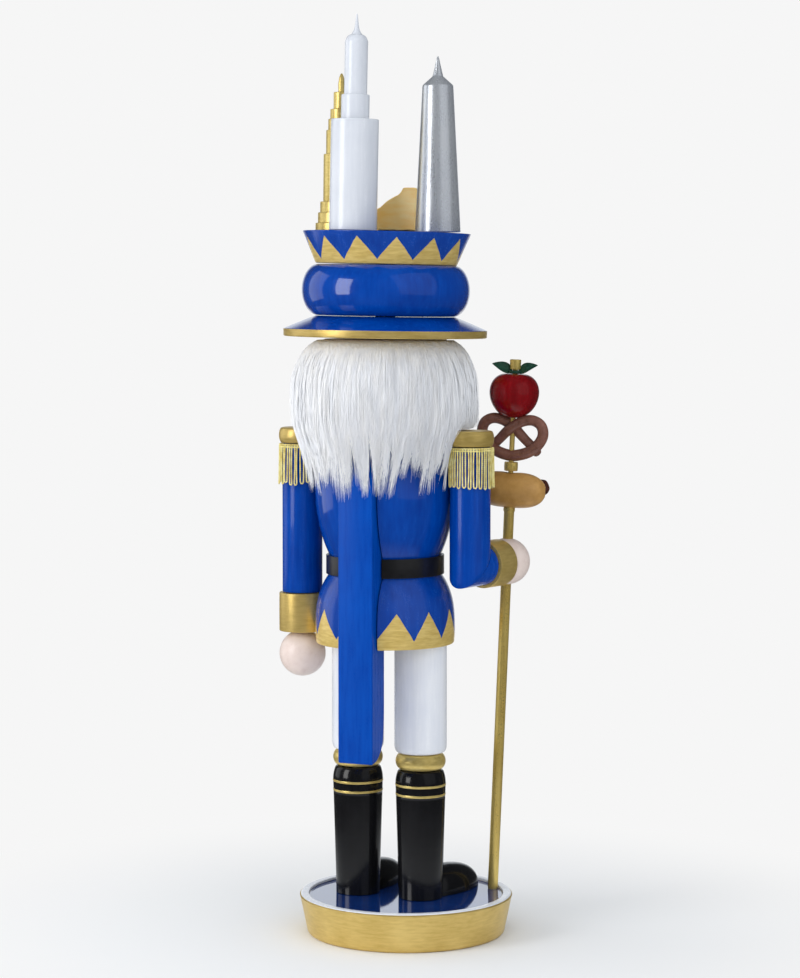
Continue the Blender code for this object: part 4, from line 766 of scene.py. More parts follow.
def makeBraid():
    # two cords down the chest with domed buttons on a flat braid between them
    s = braidShape
    foot = levels("torso")[0]
    low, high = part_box("button_braid")
    z = np.linspace(low[2] + 0.3 * mm, high[2] - 0.3 * mm, 48)
    r = torsoRadius(z)
    across = np.linspace(-s["width"] / 2, s["width"] / 2, 13)
    lift = 0.30 * mm + s["thick"] * (0.62 + 0.38 * np.abs(np.sin(across / s["width"] * 4 * math.pi)))
    lift[[0, -1]] = 0.15 * mm
    weave = 0.08 * mm * np.sin(z[:, None] / (0.9 * mm) * 2 * math.pi + across[None] * 2600)
    chest = axisY - np.sqrt(r[:, None] ** 2 - across[None] ** 2)
    y = chest - lift[None] - weave
    front = table(axisX + across[None] + 0 * y, y, z[:, None] + 0 * y)
    back = front.copy()
    back[..., 1] = chest - 0.12 * mm
    rows, columns = y.shape
    points = np.vstack([front.reshape(-1, 3), back.reshape(-1, 3)])
    index = np.arange(rows * columns).reshape(rows, columns)
    quads = table(index[:-1, :-1], index[:-1, 1:], index[1:, 1:], index[1:, :-1]).reshape(-1, 4)
    faces = quads.tolist() + (quads[:, ::-1] + rows * columns).tolist()
    rim = np.concatenate([index[0, :], index[1:, -1], index[-1, -2::-1], index[-2:0:-1, 0]])
    nextRim = np.roll(rim, -1)
    faces += table(nextRim, rim, rim + rows * columns, nextRim + rows * columns).tolist()
    parts = [(points, faces)]
    for k in range(s["buttons"]):
        height = foot + s["first"] + k * s["pitch"]
        a = np.linspace(math.pi / 2, 0, 9)
        dome = table(s["buttonRadius"] * np.cos(a), 1.25 * mm * np.sin(a))
        dome = np.vstack([dome, [s["buttonRadius"] * 0.9, -0.5 * mm], [0, -0.5 * mm]])
        centre = (axisX, axisY - float(torsoRadius(np.array(height))) - 0.75 * mm, height)
        parts.append(latheMesh(dome, frameAlong(centre, (0, -1, 0)), 28))
    points, faces = joinMeshes(parts)
    makePiece("buttonBraid", points, faces, [goldFineLit], stands="button_braid", slot="trim_gold")


def latheMesh(profile, place, sides=32):
    # points and faces of a small turned shape whose profile starts and ends on its axis
    profile = np.asarray(profile, dtype=float)
    a = fullTurn(sides)
    ring = profile[1:-1]
    grid = table(ring[:, :1] * np.cos(a), ring[:, :1] * np.sin(a), ring[:, 1:] + 0 * a).reshape(-1, 3)
    points = np.vstack([[[0, 0, profile[0, 1]]], grid, [[0, 0, profile[-1, 1]]]])
    index = 1 + np.arange(len(ring) * sides).reshape(len(ring), sides)
    right = np.roll(index, -1, axis=1)
    faces = table(index[:-1], index[1:], right[1:], right[:-1]).reshape(-1, 4).tolist()
    faces += [[0, int(index[0, k]), int(right[0, k])] for k in range(sides)]
    last = len(points) - 1
    faces += [[last, int(right[-1, k]), int(index[-1, k])] for k in range(sides)]
    origin, axes = place
    return points @ axes + origin, faces


# the jaw lever and the chin block
leverShape = dict(edge=0.7 * mm, toeRadius=15 * mm, jawBack=-24.0 * mm)


def makeLever():
    # the lever's outline from the side, straight edges with bent corners, given the lever's width
    s = leverShape
    low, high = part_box("jaw_lever")
    back, front, foot, top = high[1] - axisY, high[1] - axisY - 15.6 * mm, low[2], high[2]
    floor = levels("torso")[1] - coatShape["slotDrop"]
    a = np.radians(np.linspace(180, 250, 14))
    toe = table(back + s["toeRadius"] * np.cos(a), foot + s["toeRadius"] + s["toeRadius"] * np.sin(a))
    toe = toe[toe[:, 0] > front]
    upper = [(s["jawBack"] + 0.3 * mm, top), (2 * mm, top), (14 * mm, top - 3.0 * mm),
             (back - 13 * mm, top - 10.5 * mm), (back - 4.5 * mm, top - 21.5 * mm),
             (back, levels("torso")[1] - 25.0 * mm), (back, foot)]
    lower = [(front, foot + 1.6 * s["toeRadius"])] if not len(toe) else []
    rest = [(front, foot + 1.6 * s["toeRadius"]), (front, floor - 17 * mm), (3 * mm, floor + 2 * mm),
            (s["jawBack"] + 10 * mm, floor + 6.5 * mm), (s["jawBack"] + 0.3 * mm, top - 14.5 * mm)]
    line = np.array(upper + toe[::-1].tolist() + lower + rest)
    radius = np.full(len(line), 3.0 * mm)
    radius[[0, len(upper) - 2, len(upper) - 1, len(line) - 1]] = 1.3 * mm
    line = bendCorners(line, radius, 5, True)
    line[:, 0] += axisY
    width = high[0] - low[0]
    place = (np.array([(low[0] + high[0]) / 2, 0, 0]), np.eye(3))
    slabPiece("jawLever", line, width, s["edge"], [blueLeverLit], place, body="lever",
              stands="jaw_lever", slot="coat", crease=35)


# arms: sleeves, cuffs, hands, shoulder buttons and their bullion fringe
armShape = dict(radius=10.2 * mm, cuff=11.8 * mm, hand=11.8 * mm,
                cuffLength=dict(left=19.6 * mm, right=14.7 * mm),
                handSink=dict(left=0.6 * mm, right=3.9 * mm), elbowDrop=59.5 * mm, sides=96)


def cuffPiece(side, place):
    # a short barrel, a little wider at half its length
    s = armShape
    length, r = s["cuffLength"][side], s["cuff"]
    line = [(0, length), (r, length), (r + 0.05 * mm, length / 2), (r, 0), (0, 0)]
    return turnedPiece(f"cuff.{side}", bendCorners(line, 0.45 * mm, 4), [goldRound], place,
                       s["sides"], stands=f"cuff_{side}", slot="trim_gold")


def handPiece(side, place):
    # a ball turned on the end of its spigot: r = R cos t, z = centre + R sin t
    s = armShape
    r, sink = s["hand"], s["handSink"][side]
    t = np.linspace(math.asin((r - sink - 0.15 * mm) / r), -math.pi / 2, 44)
    ball = table(r * np.cos(t), sink - r + r * np.sin(t))
    ball[-1, 0] = 0
    return turnedPiece(f"hand.{side}", np.vstack([[0, ball[0, 1]], ball]), [skinPaint], place, 72,
                       stands=f"hand_{side}", slot="skin")


def mitredSleeve(name, start, elbow, normal, stands):
    # a tube from a flat disc at start; its far rim follows the plane (p - elbow) . normal = 0
    s = armShape
    start, elbow, normal = (np.asarray(v, dtype=float) for v in (start, elbow, normal))
    direction = (elbow - start) / np.linalg.norm(elbow - start)
    _, axes = frameAlong(start, direction)
    a = fullTurn(s["sides"])
    ring = s["radius"] * (np.cos(a)[:, None] * axes[0] + np.sin(a)[:, None] * axes[1])
    reach = ((elbow - start - ring) @ normal) / (direction @ normal) - 0.12 * mm
    bend = 0.5 * mm
    t = np.linspace(0, math.pi / 2, 4)
    grid = [start + ring * (1 - bend / s["radius"] * (1 - math.sin(k))) + direction * bend * (1 - math.cos(k))
            for k in t]
    for share in np.linspace(0.04, 0.97, 12):
        grid.append(start + ring + direction * (bend + (reach[:, None] - 2 * bend) * share))
    for k in t[::-1]:
        grid.append(start + ring * (1 - bend / s["radius"] * (1 - math.sin(k)))
                    + direction * (reach[:, None] - 0.5 * bend * (1 - math.cos(k))))
    return gridPiece(name, np.array(grid), [blueUpright], stands=stands, slot="coat")


def epaulette(side):
    # a round button with a swelling side: radius = r - 2.2 mm (1 - cos a), height = half * sin a / sin 62
    x, y = middle(f"epaulette_{side}")
    foot, top = levels(f"epaulette_{side}")
    low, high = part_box(f"epaulette_{side}")
    r, half, centre = (high[0] - low[0]) / 2, (top - foot) / 2, (top + foot) / 2
    a = np.linspace(math.radians(62), math.radians(-62), 17)
    swell = table(r - 2.2 * mm * (1 - np.cos(a)),
                  centre + half * np.sin(a) / math.sin(math.radians(62)))
    line = np.vstack([[0, top + 0.02 * mm], [swell[0, 0] - 0.7 * mm, top], swell[1:-1],
                      [swell[-1, 0] - 0.5 * mm, foot], [0, foot]])
    turnedPiece(f"epaulette.{side}", bendCorners(line, 0.4 * mm, 3), [goldRound],
                uprightFrame(x, y), 96, stands=f"epaulette_{side}", slot="trim_gold")


fringeShape = dict(strands=38, open=50.0, radius=11.35 * mm, spread=0.35 * mm, length=19.8 * mm,
                   ply=0.225 * mm, offset=0.21 * mm, pitch=1.9 * mm, step=0.36 * mm)


def twistedCord(path, s, phase=0.0, sides=6):
    # two plies at c(s) + o(n cos(2 pi s / pitch) + b sin(2 pi s / pitch)), the second half a turn behind
    path, side, up = pathFrames(path)
    run = np.concatenate([[0], np.cumsum(np.linalg.norm(np.diff(path, axis=0), axis=1))])
    parts = []
    for start in (0.0, math.pi):
        turn = run / s["pitch"] * 2 * math.pi + start + phase
        ply = path + s["offset"] * (side * np.cos(turn)[:, None] + up * np.sin(turn)[:, None])
        parts.append(rodMesh(ply, s["ply"], sides))
    return joinMeshes(parts)


def evenPath(points, step):
    # the same line with points at equal distances
    points = np.asarray(points, dtype=float)
    run = np.concatenate([[0], np.cumsum(np.linalg.norm(np.diff(points, axis=0), axis=1))])
    at = np.linspace(0, run[-1], max(4, int(run[-1] / step)))
    return np.stack([np.interp(at, run, points[:, k]) for k in range(3)], axis=1)


def fringe(side):
    # each loop hangs as a narrow U: down at one angle, a half turn at the foot, and up at the next
    s = fringeShape
    x, y = middle(f"sleeve_{side}")
    top = levels(f"fringe_{side}")[1]
    away = 0.0 if side == "left" else 180.0
    angles = np.radians(away + np.linspace(s["open"] - 180, 180 - s["open"], s["strands"]))
    gap = angles[1] - angles[0]
    parts = []
    for k in range(0, s["strands"] - 1, 2):
        length = s["length"] + dice.uniform(-0.9, 0.6) * mm
        lean, twist = dice.uniform(-0.30, 0.30) * gap, dice.uniform(0, 6.28)
        first = angles[k] + dice.uniform(-0.12, 0.12) * gap
        second = angles[k + 1] + dice.uniform(-0.12, 0.12) * gap
        t = np.linspace(0, 1, 15)
        bow = dice.uniform(-0.25, 0.25, 2) * gap
        drop = length - 1.1 * mm
        downA = first + lean * t**1.5 + bow[0] * np.sin(math.pi * t)
        upA = second + lean * t**1.5 + bow[1] * np.sin(math.pi * t)
        out = s["radius"] + s["spread"] * (0.3 + t) + dice.uniform(-0.12, 0.18) * mm
        down = table(out * np.cos(downA), out * np.sin(downA), -drop * t)
        up = table(out * np.cos(upA), out * np.sin(upA), -drop * t)[::-1]
        b = np.linspace(0, math.pi, 11)[1:-1]
        mid, half = (downA[-1] + upA[-1]) / 2, (upA[-1] - downA[-1]) / 2
        turnA = mid - half * np.cos(b)
        turn = table(out[-1] * np.cos(turnA), out[-1] * np.sin(turnA), -drop - 1.05 * mm * np.sin(b))
        path = evenPath(np.vstack([down, turn, up]) + [x, y, top - 0.3 * mm], s["step"])
        parts.append(twistedCord(path, s, twist))
    for level, radius in ((0.35 * mm, 11.25 * mm), (1.45 * mm, 11.55 * mm)):
        a = np.linspace(angles[0] - gap, angles[-1] + gap, 90)
        wave = 0.16 * mm * np.sin(a * 46)
        head = table(radius * np.cos(a), radius * np.sin(a), wave - level)
        parts.append(twistedCord(evenPath(head + [x, y, top], s["step"]), s))
    points, faces = joinMeshes(parts)
    makePiece(f"fringe.{side}", points, faces, [cordGold], stands=f"fringe_{side}", slot="cord", crease=80)


def makeCordGold():
    # gold thread: fine noise for its sheen, coarse noise for its tone
    kit = PaintKit("goldCord")
    fine = kit.noise(5200, 2.0, 0.6)
    tone = kit.noise(320, 3.0, 0.6)
    colour = kit.blend(kit.ramp(tone, 0, 1, 0.35, 0.65), screenColour(226, 204, 110),
                       screenColour(252, 242, 172))
    normal = kit.bump(fine, 0.00006, 0.8)
    return kit.set(Base_Color=colour, Roughness=kit.ramp(fine, 0.3, 0.55, 0.3, 0.7), Metallic=0.12,
                   Normal=normal)


cordGold = makeCordGold()


def makeArms():
    # the left arm hangs straight; the right one has a mitred elbow and reaches level to the staff
    s = armShape
    x, y = middle("sleeve_left")
    foot, top = levels("sleeve_left")
    sleeve = bendCorners([(0, top), (s["radius"], top), (s["radius"], foot), (0, foot)], 0.5 * mm, 4)
    turnedPiece("sleeve.left", sleeve, [blueUpright], uprightFrame(x, y), s["sides"],
                stands="sleeve_left", slot="coat")
    wrist = foot - 0.3 * mm - s["cuffLength"]["left"]
    cuffPiece("left", uprightFrame(x, y, wrist))
    handPiece("left", uprightFrame(x, y, wrist - 0.25 * mm))
    x, y = middle("sleeve_right")
    top = levels("sleeve_right")[1]
    elbow = np.array([x, y, top - s["elbowDrop"]])
    hand = staffPoint(elbow[2])
    forward = (hand - elbow) / np.linalg.norm(hand - elbow)
    mitre = forward + np.array([0, 0, -1.0])
    mitre /= np.linalg.norm(mitre)
    mitredSleeve("sleeve.right", (x, y, top), elbow, mitre, "sleeve_right")
    wrist = hand - forward * (s["hand"] - s["handSink"]["right"] + 0.3 * mm)
    cuffEnd = wrist - forward * (s["cuffLength"]["right"] + 0.3 * mm)
    mitredSleeve("forearm.right", cuffEnd, elbow, mitre, "forearm_right")
    cuffPiece("right", frameAlong(wrist, -forward))
    handPiece("right", frameAlong(wrist + forward * 0.15 * mm, -forward))
    for side in ("left", "right"):
        epaulette(side)
        fringe(side)


# the staff, and what is threaded on it
staffShape = dict(x=-36.0 * mm, y=-28.8 * mm, lean=2.55, radius=2.6 * mm, tenon=1.3 * mm, bun=204.4 * mm,
                  bunRadius=9.2 * mm, bunHalf=18.6 * mm, spacerRadius=3.4 * mm, spacer=4.6 * mm,
                  dough=2.9 * mm, pretzelHalf=16.3 * mm, pretzelRise=9.4 * mm, appleRadius=12.5 * mm,
                  apple=23.2 * mm, stemRadius=2.9 * mm, stem=5.2 * mm)


def staffDirection():
    # upright, leaned by the staff's angle towards -x
    lean = math.radians(staffShape["lean"])
    return np.array([-math.sin(lean), 0.0, math.cos(lean)])


def staffPoint(z):
    # where the staff's axis passes a level
    s = staffShape
    foot = np.array([s["x"], s["y"], floorZ])
    direction = staffDirection()
    return foot + direction * (z - floorZ) / direction[2]


def onStaff(height=0.0):
    # a place at a distance up the staff, with its axes along it
    s = staffShape
    return frameAlong(np.array([s["x"], s["y"], floorZ]) + staffDirection() * height, staffDirection())


def heights():
    # how far along the staff each threaded piece starts
    s = staffShape
    gap = 0.3 * mm
    spacer = s["bun"] + s["bunRadius"] + gap
    pretzel = spacer + s["spacer"] + gap + s["dough"] + s["pretzelRise"]
    apple = pretzel + 0.72 * s["pretzelRise"] + s["dough"]
    stem = apple + s["apple"] - 1.0 * mm + gap
    return dict(spacer=spacer, pretzel=pretzel, apple=apple, stem=stem)


def catmullRom(points, count):
    # p(f) = half of 2 p1 + (p2 - p0) f + (2 p0 - 5 p1 + 4 p2 - p3) f^2 + (3 p1 - p0 - 3 p2 + p3) f^3, span
    # by span
    points = np.asarray(points, dtype=float)
    last = len(points) - 1
    t = np.linspace(0, last, count)
    k = np.minimum(t.astype(int), last - 1)
    f = (t - k)[:, None]
    p = [points[np.clip(k + j, 0, last)] for j in (-1, 0, 1, 2)]
    return 0.5 * (2 * p[1] + (p[2] - p[0]) * f + (2 * p[0] - 5 * p[1] + 4 * p[2] - p[3]) * f**2
                  + (3 * p[1] - p[0] - 3 * p[2] + p[3]) * f**3)


def gridPiece(name, grid, paints, **facts):
    # one closed grid as a piece
    points, faces = gridMesh(grid)
    return makePiece(name, points, faces, paints, **facts)


def makeStaff():
    # the rod with its joints and its spacer, then the toppers
    s, at = staffShape, heights()
    r = s["radius"]
    line = [(0, at["stem"] + 3.4 * mm), (s["tenon"], at["stem"] + 3.4 * mm), (s["tenon"], s["bun"]),
            (r, s["bun"] - 0.4 * mm), (r, s["bun"] - 8.3 * mm), (r + 0.35 * mm, s["bun"] - 9.6 * mm),
            (r + 0.35 * mm, s["bun"] - 10.8 * mm), (r, s["bun"] - 11.4 * mm), (r, 1.0 * mm),
            (r - 0.2 * mm, 0.0), (r - 0.2 * mm, -1.2 * mm), (0, -1.2 * mm)]
    turnedPiece("staff", bendCorners(line, 0.3 * mm, 3), [staffGoldLit], onStaff(), 40,
                stands="staff", slot="staff")
    ring = bendCorners([(0, s["spacer"]), (s["spacerRadius"], s["spacer"]),
                        (s["spacerRadius"] + 0.1 * mm, s["spacer"] / 2),
                        (s["spacerRadius"], 0), (0, 0)], 0.5 * mm, 3)
    turnedPiece("staffSpacer", ring, [staffGoldLit], onStaff(at["spacer"]), 48, stands="staff_spacer",
                slot="staff")
    makeBun()
    makePretzel()
    makeApple()


def makeBun():
    # r(u, a) = R (1 - |u|^3)^(1/2.4) (1 - groove), along x, with the groove where the sausage lies
    s = staffShape
    u = np.sin(np.linspace(-math.pi / 2, math.pi / 2, 60))
    a = np.linspace(0, 2 * math.pi, 97)[:-1]
    r = (1 - np.abs(u).clip(0, 1) ** 3.0) ** (1 / 2.4)
    front = -math.pi / 2
    turn = np.angle(np.exp(1j * (a - front)))
    groove = 0.30 * np.exp(-((turn / 0.42) ** 2)) - 0.07 * np.exp(-(((np.abs(turn) - 0.72) / 0.20) ** 2))
    across = s["bunRadius"] * 0.985 * (1 - groove)[None] * r[:, None]
    grid = table(s["bunHalf"] * u[:, None] + 0 * across, across * np.sin(a) * 0.96,
                 across * np.cos(a) * 1.01)
    origin, axes = onStaff(s["bun"])
    dent = 0.5 * mm * np.exp(-((grid[..., 0] / (5 * mm)) ** 2)) * (np.cos(a)[None] > 0)
    grid[..., 2] -= dent * np.cos(a)[None]
    grid = grid @ axes + origin
    kit = brushedPaint("bunPaint", (196, 150, 84), (164, 120, 58), 0.38, streak=(1, 1, 1), streakScale=180,
                       lumps=0.00025, grit=0.000020)
    gridPiece("bun", grid[:, ::-1], [kit], stands="bun", slot="bun")
    half, reach = 4.1 * mm, 17.8 * mm
    u = np.linspace(-1, 1, 48)
    bend = table(reach * 0.96 * np.sin(u * math.pi / 2), -s["bunRadius"] * 0.74 + 0.5 * mm * u**2,
                 1.5 * mm + 0.4 * mm * u**2)
    radii = half * np.sqrt(np.clip(1 - (np.abs(u) ** 9), 0.03, 1))
    kit = brushedPaint("sausagePaint", (74, 36, 24), (50, 22, 14), 0.24, streak=(0.2, 1, 1),
                       streakScale=260, lumps=0.00012, coat=0.3)
    rodPiece("sausage", bend @ axes + origin, radii, [kit], 28, stands="sausage", slot="sausage")


def makePretzel():
    # two mirrored strands of dough on a Catmull-Rom line: each starts past the low arc, crosses and loops
    s, at = staffShape, heights()
    half = np.array([(-0.83, -0.91), (-0.65, -0.51), (-0.42, -0.13), (-0.20, 0.23), (0.04, 0.56),
                     (0.33, 0.87), (0.66, 0.95), (0.93, 0.69), (1.0, 0.17), (0.83, -0.38), (0.49, -0.81),
                     (0.0, -1.0), (-0.49, -0.81)])
    kit = brushedPaint("pretzelPaint", (134, 90, 76), (102, 66, 54), 0.30, streak=(1, 1, 1),
                       streakScale=240, lumps=0.00020, grit=0.000014, coat=0.25)
    origin, axes = onStaff(at["pretzel"])
    parts = []
    for sign in (1, -1):
        line = catmullRom(half, 96)[:92]
        t = np.linspace(0, 11.5, len(line))
        over = s["dough"] * 1.15 * np.clip(1 - t / 3.0, 0, 1) ** 1.2
        lift = 1.5 * mm * np.exp(-((t - 3.9) / 1.3) ** 2)
        y = -sign * lift - over
        path = table(sign * line[:, 0] * s["pretzelHalf"], y, line[:, 1] * s["pretzelRise"])
        thick = s["dough"] * (0.94 + 0.07 * np.exp(-((t - 11) / 2.5) ** 2)
                              - 0.10 * np.exp(-((t - 1.5) / 1.6) ** 2))
        tip = np.clip(t / 0.55, 0, 1)
        thick = thick * np.sqrt(np.clip(1 - (1 - tip) ** 2, 0.02, 1))
        fade = np.clip((11.5 - t) / 0.8, 0, 1)
        thick = thick * (0.55 + 0.45 * np.sqrt(1 - (1 - fade) ** 2))
        parts.append(rodMesh(path @ axes + origin, thick, 24))
    points, faces = joinMeshes(parts)
    makePiece("pretzel", points, faces, [kit], stands="pretzel", slot="pretzel", crease=60)


def makeApple():
    # r(t, a) = R sin(t)^0.82 (1 + 0.10 cos t)(1 + lobes), z(t) = H (1 + cos t) / 2 less a hollow at the stem
    s, at = staffShape, heights()
    t = np.linspace(0, math.pi, 60)
    a = np.linspace(0, 2 * math.pi, 97)[:-1]
    r = s["appleRadius"] * np.sin(t).clip(0, 1) ** 0.82 * (1 + 0.10 * np.cos(t))
    crown = 0.5 + 0.5 * np.cos(t)
    lobes = 1 + 0.012 * np.cos(5 * a)[None] * crown[:, None] + 0.006 * np.cos(3 * a + 1)[None]
    z = s["apple"] * crown - 1.5 * mm * np.exp(-((r / (4.6 * mm)) ** 2)) * (np.cos(t) > 0)
    ring = r[:, None] * lobes
    grid = table(ring * np.cos(a), ring * np.sin(a), z[:, None] + 0 * ring)[1:-1]
    origin, axes = onStaff(at["apple"])
    kit = brushedPaint("applePaint", (134, 6, 16), (100, 2, 8), 0.24, streak=(1, 1, 0.12), streakScale=330,
                       lumps=0.00014, coat=0.3, specular=0.2)
    gridPiece("apple", (grid @ axes + origin)[::-1], [kit], stands="apple", slot="apple")
    origin, axes = onStaff(at["stem"])
    parts = []
    for turn, tilt, roll, length in ((10.0, 25.0, 0.75, 10.6 * mm), (190.0, 28.0, -0.75, 10.0 * mm)):
        u = np.linspace(0, 1, 26)
        v = np.linspace(-1, 1, 15)
        wide = 3.1 * mm * np.sin(math.pi * u**0.75) ** 0.85 + 0.7 * mm * (1 - u) ** 2
        x = 2.3 * mm + length * u
        y = wide[:, None] * v[None]
        lift = 0.9 * mm * v[None] ** 2 * np.sin(math.pi * u)[:, None] - 1.1 * mm * (u**3)[:, None]
        ribs = np.cos((u[:, None] * 9 - np.abs(v)[None] * 2.0) * 2 * math.pi)
        vein = -0.10 * mm * np.exp(-((v / 0.10) ** 2))[None] - 0.05 * mm * ribs * (1 - v[None] ** 2)
        top = table(x[:, None] + 0 * y, y, lift + vein + 0.28 * mm)
        low = table(x[:, None] + 0 * y, y, lift - 0.28 * mm * (1 - v[None] ** 6))
        ring = np.concatenate([top, low[:, -2:0:-1]], axis=1)
        across, rise = ring[..., 1].copy(), ring[..., 2].copy()
        ring[..., 1] = across * math.cos(roll) + rise * math.sin(roll)
        ring[..., 2] = rise * math.cos(roll) - across * math.sin(roll)
        k, m = math.radians(tilt), math.radians(turn)
        lean = np.array([[math.cos(k), 0, math.sin(k)], [0, 1, 0], [-math.sin(k), 0, math.cos(k)]])
        spin = np.array([[math.cos(m), math.sin(m), 0], [-math.sin(m), math.cos(m), 0], [0, 0, 1]])
        drop = np.array([0, 0, 0.8 * mm - 2.6 * mm * math.sin(k)])
        ring = ((ring @ lean) + drop) @ spin
        parts.append(gridMesh((ring @ axes + origin)[:, ::-1]))
    collar = bendCorners([(0, 1.6 * mm), (3.5 * mm, 1.6 * mm), (3.6 * mm, 0.0), (0, 0)], 0.5 * mm, 3)
    parts.append(latheMesh(collar, (origin, axes), 32))
    points, faces = joinMeshes(parts)
    kit = brushedPaint("leafPaint", (34, 80, 62), (20, 56, 42), 0.36, streak=(1, 0.3, 1), streakScale=420,
                       lumps=0.00008)
    makePiece("appleLeaves", points, faces, [kit], stands="leaves", slot="leaf", crease=55)
    stem = bendCorners([(0, s["stem"] + 1.9 * mm), (s["stemRadius"], s["stem"] + 1.9 * mm),
                        (s["stemRadius"] * 0.92, 1.9 * mm), (0, 1.9 * mm)], 0.6 * mm, 4)
    turnedPiece("appleStem", stem, [staffGoldLit], onStaff(at["stem"]), 40, stands="stem", slot="staff")


# head, painted face, chin block and teeth
headShape = dict(radius=31.0 * mm, rounding=6.0 * mm, sides=144, teethThick=0.8 * mm, toothPitch=2.3 * mm,
                 nose=4.2 * mm, noseRise=27.7 * mm, moustacheRise=19.6 * mm, moustacheHalf=14.0 * mm)
# millimetres from the head's foot and axis
faceShape = dict(eyeX=9.6, eyeZ=30.6, browZ=36.6, cheekX=17.0, cheekZ=21.5)


def ellipse(kit, x, z, centre, half, soft=0.10):
    # 1 inside ((x - cx) / a)^2 + ((z - cz) / b)^2 = 1 and 0 outside it
    across = kit.math("DIVIDE", kit.minus(x, centre[0]), half[0])
    up = kit.math("DIVIDE", kit.minus(z, centre[1]), half[1])
    away = kit.plus(kit.times(across, across), kit.times(up, up))
    return kit.ramp(away, 1.0, 0.0, 1 - soft, 1 + soft, True)


def facePaint():
    # cheeks, brows, lids and eyes as soft ellipses on the front of the head, with a painted highlight in each
    # eye; x is the same at both sides
    s = faceShape
    kit = brushedPaint("facePaint", (232, 216, 207), (226, 208, 199), 0.30, streak=(1, 1, 1), streakScale=200)
    parts = kit.add("ShaderNodeSeparateXYZ")
    kit.wire(kit.place, parts.inputs[0])
    foot = levels("head")[0]
    side = kit.minus(parts.outputs["X"], axisX)
    x = kit.times(kit.math("ABSOLUTE", side), 1000.0)
    z = kit.times(kit.minus(parts.outputs["Z"], foot), 1000.0)
    front = kit.ramp(parts.outputs["Y"], 1.0, 0.0, axisY - 12 * mm, axisY - 10 * mm)
    eye = (s["eyeX"], s["eyeZ"])
    lid = kit.times(ellipse(kit, x, z, (eye[0], eye[1] + 0.35), (5.2, 3.35), 0.06),
                    kit.ramp(z, 0, 1, eye[1] - 0.7, eye[1] + 0.6))
    brow = kit.times(ellipse(kit, x, z, (s["eyeX"] + 0.6, s["browZ"]), (6.0, 2.2), 0.10),
                    kit.minus(1.0, ellipse(kit, x, z, (s["eyeX"] + 0.9, s["browZ"] - 1.2), (6.4, 2.2), 0.10)))
    layers = ((ellipse(kit, x, z, (s["cheekX"], s["cheekZ"]), (6.4, 5.4), 0.9), (222, 150, 138), 0.55),
              (brow, (142, 134, 130), 1.0), (lid, (52, 40, 38), 1.0),
              (ellipse(kit, x, z, eye, (4.7, 2.8), 0.06), (240, 240, 240), 1.0),
              (ellipse(kit, x, z, (eye[0], eye[1] + 0.15), (2.2, 2.3), 0.08), (70, 98, 128), 1.0),
              (ellipse(kit, x, z, (eye[0], eye[1] + 0.15), (1.05, 1.1), 0.15), (16, 16, 20), 1.0))
    colour = kit.shader.inputs["Base Color"].links[0].from_socket
    for mask, tone, strength in layers:
        factor = kit.times(kit.times(mask, strength), front)
        colour = kit.blend(factor, colour, screenColour(*tone))
    # a painted highlight: a small white glint in each eye, both set off to the same side like a reflected
    # lamp
    for spot in (s["eyeX"] + 0.9, 0.9 - s["eyeX"]):
        paintedGlint = ellipse(kit, kit.times(side, 1000.0), z, (spot, eye[1] + 1.0), (0.5, 0.5), 0.3)
        colour = kit.blend(kit.times(paintedGlint, front), colour, screenColour(245, 245, 245))
    return kit.set(Base_Color=colour)


def makeHead(tool):
    # a block with a rounded foot, cut by the slot and its mouth, then nose, upper teeth and jaw
    s = headShape
    foot, top = levels("head")
    place = uprightFrame(axisX, axisY)
    line = [(0, top), (s["radius"], top), (s["radius"], foot), (0, foot)]
    profile = bendCorners(line, [0, 0.8 * mm, s["rounding"], 0], 8)
    head = turnedPiece("headBlock", profile, [facePaint()], place, s["sides"], stands="head", slot="skin")
    carve(head, tool)
    # nose: a ball stretched up, its back cut flat where it meets the face
    a = np.linspace(math.pi / 2, -math.pi / 2, 32)
    r = s["nose"]
    drop = table(r * np.cos(a) * (1 + 0.16 * (-np.sin(a))) * 0.97, r * 1.2 * np.sin(a))
    drop[[0, -1], 0] = 0
    ball = uprightFrame(axisX, axisY - s["radius"] - 1.2 * mm, foot + s["noseRise"])
    points, faces = latheMesh(drop, ball, 48)
    away = points[:, :2] - [axisX, axisY]
    reach = np.linalg.norm(away, axis=1)
    least = s["radius"] + 0.05 * mm
    away *= (np.maximum(reach, least) / reach)[:, None]
    points[:, :2] = away + [axisX, axisY]
    makePiece("nose", points, faces, [skinPaint], stands="nose", slot="skin", crease=50)
    teeth("upperTeeth", "upper_teeth", s["radius"] + 0.35 * mm, "figure")
    makeJaw()


def teeth(name, node, inner, body):
    # the strip's front is r + t - 0.42 e^(-(x / 0.2)^2) at each gap, and its ends are rounded
    s = headShape
    low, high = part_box(node)
    half = (high[0] - low[0]) / 2 - 0.03 * mm
    outer = inner + s["teethThick"] - 0.06 * mm
    x = np.linspace(-half, half, 181)
    gap = np.abs((x / s["toothPitch"] + 0.5) % 1 - 0.5) * s["toothPitch"]
    dip = 0.42 * mm * np.exp(-((gap / (0.20 * mm)) ** 2))
    dip = dip + 0.5 * mm * np.clip((np.abs(x) - half + 0.5 * mm) / (0.5 * mm), 0, 1) ** 3
    front = table(x, -np.sqrt((outer - dip) ** 2 - x**2))
    back = table(x, -np.sqrt(inner**2 - x**2))[::-6]
    place = levelSlab(low, high)
    slabPiece(name, np.vstack([front, back]), high[2] - low[2] - 0.04 * mm, 0.18 * mm,
              [whiteGloss], place, steps=2, stands=node, slot="teeth", body=body, crease=35)


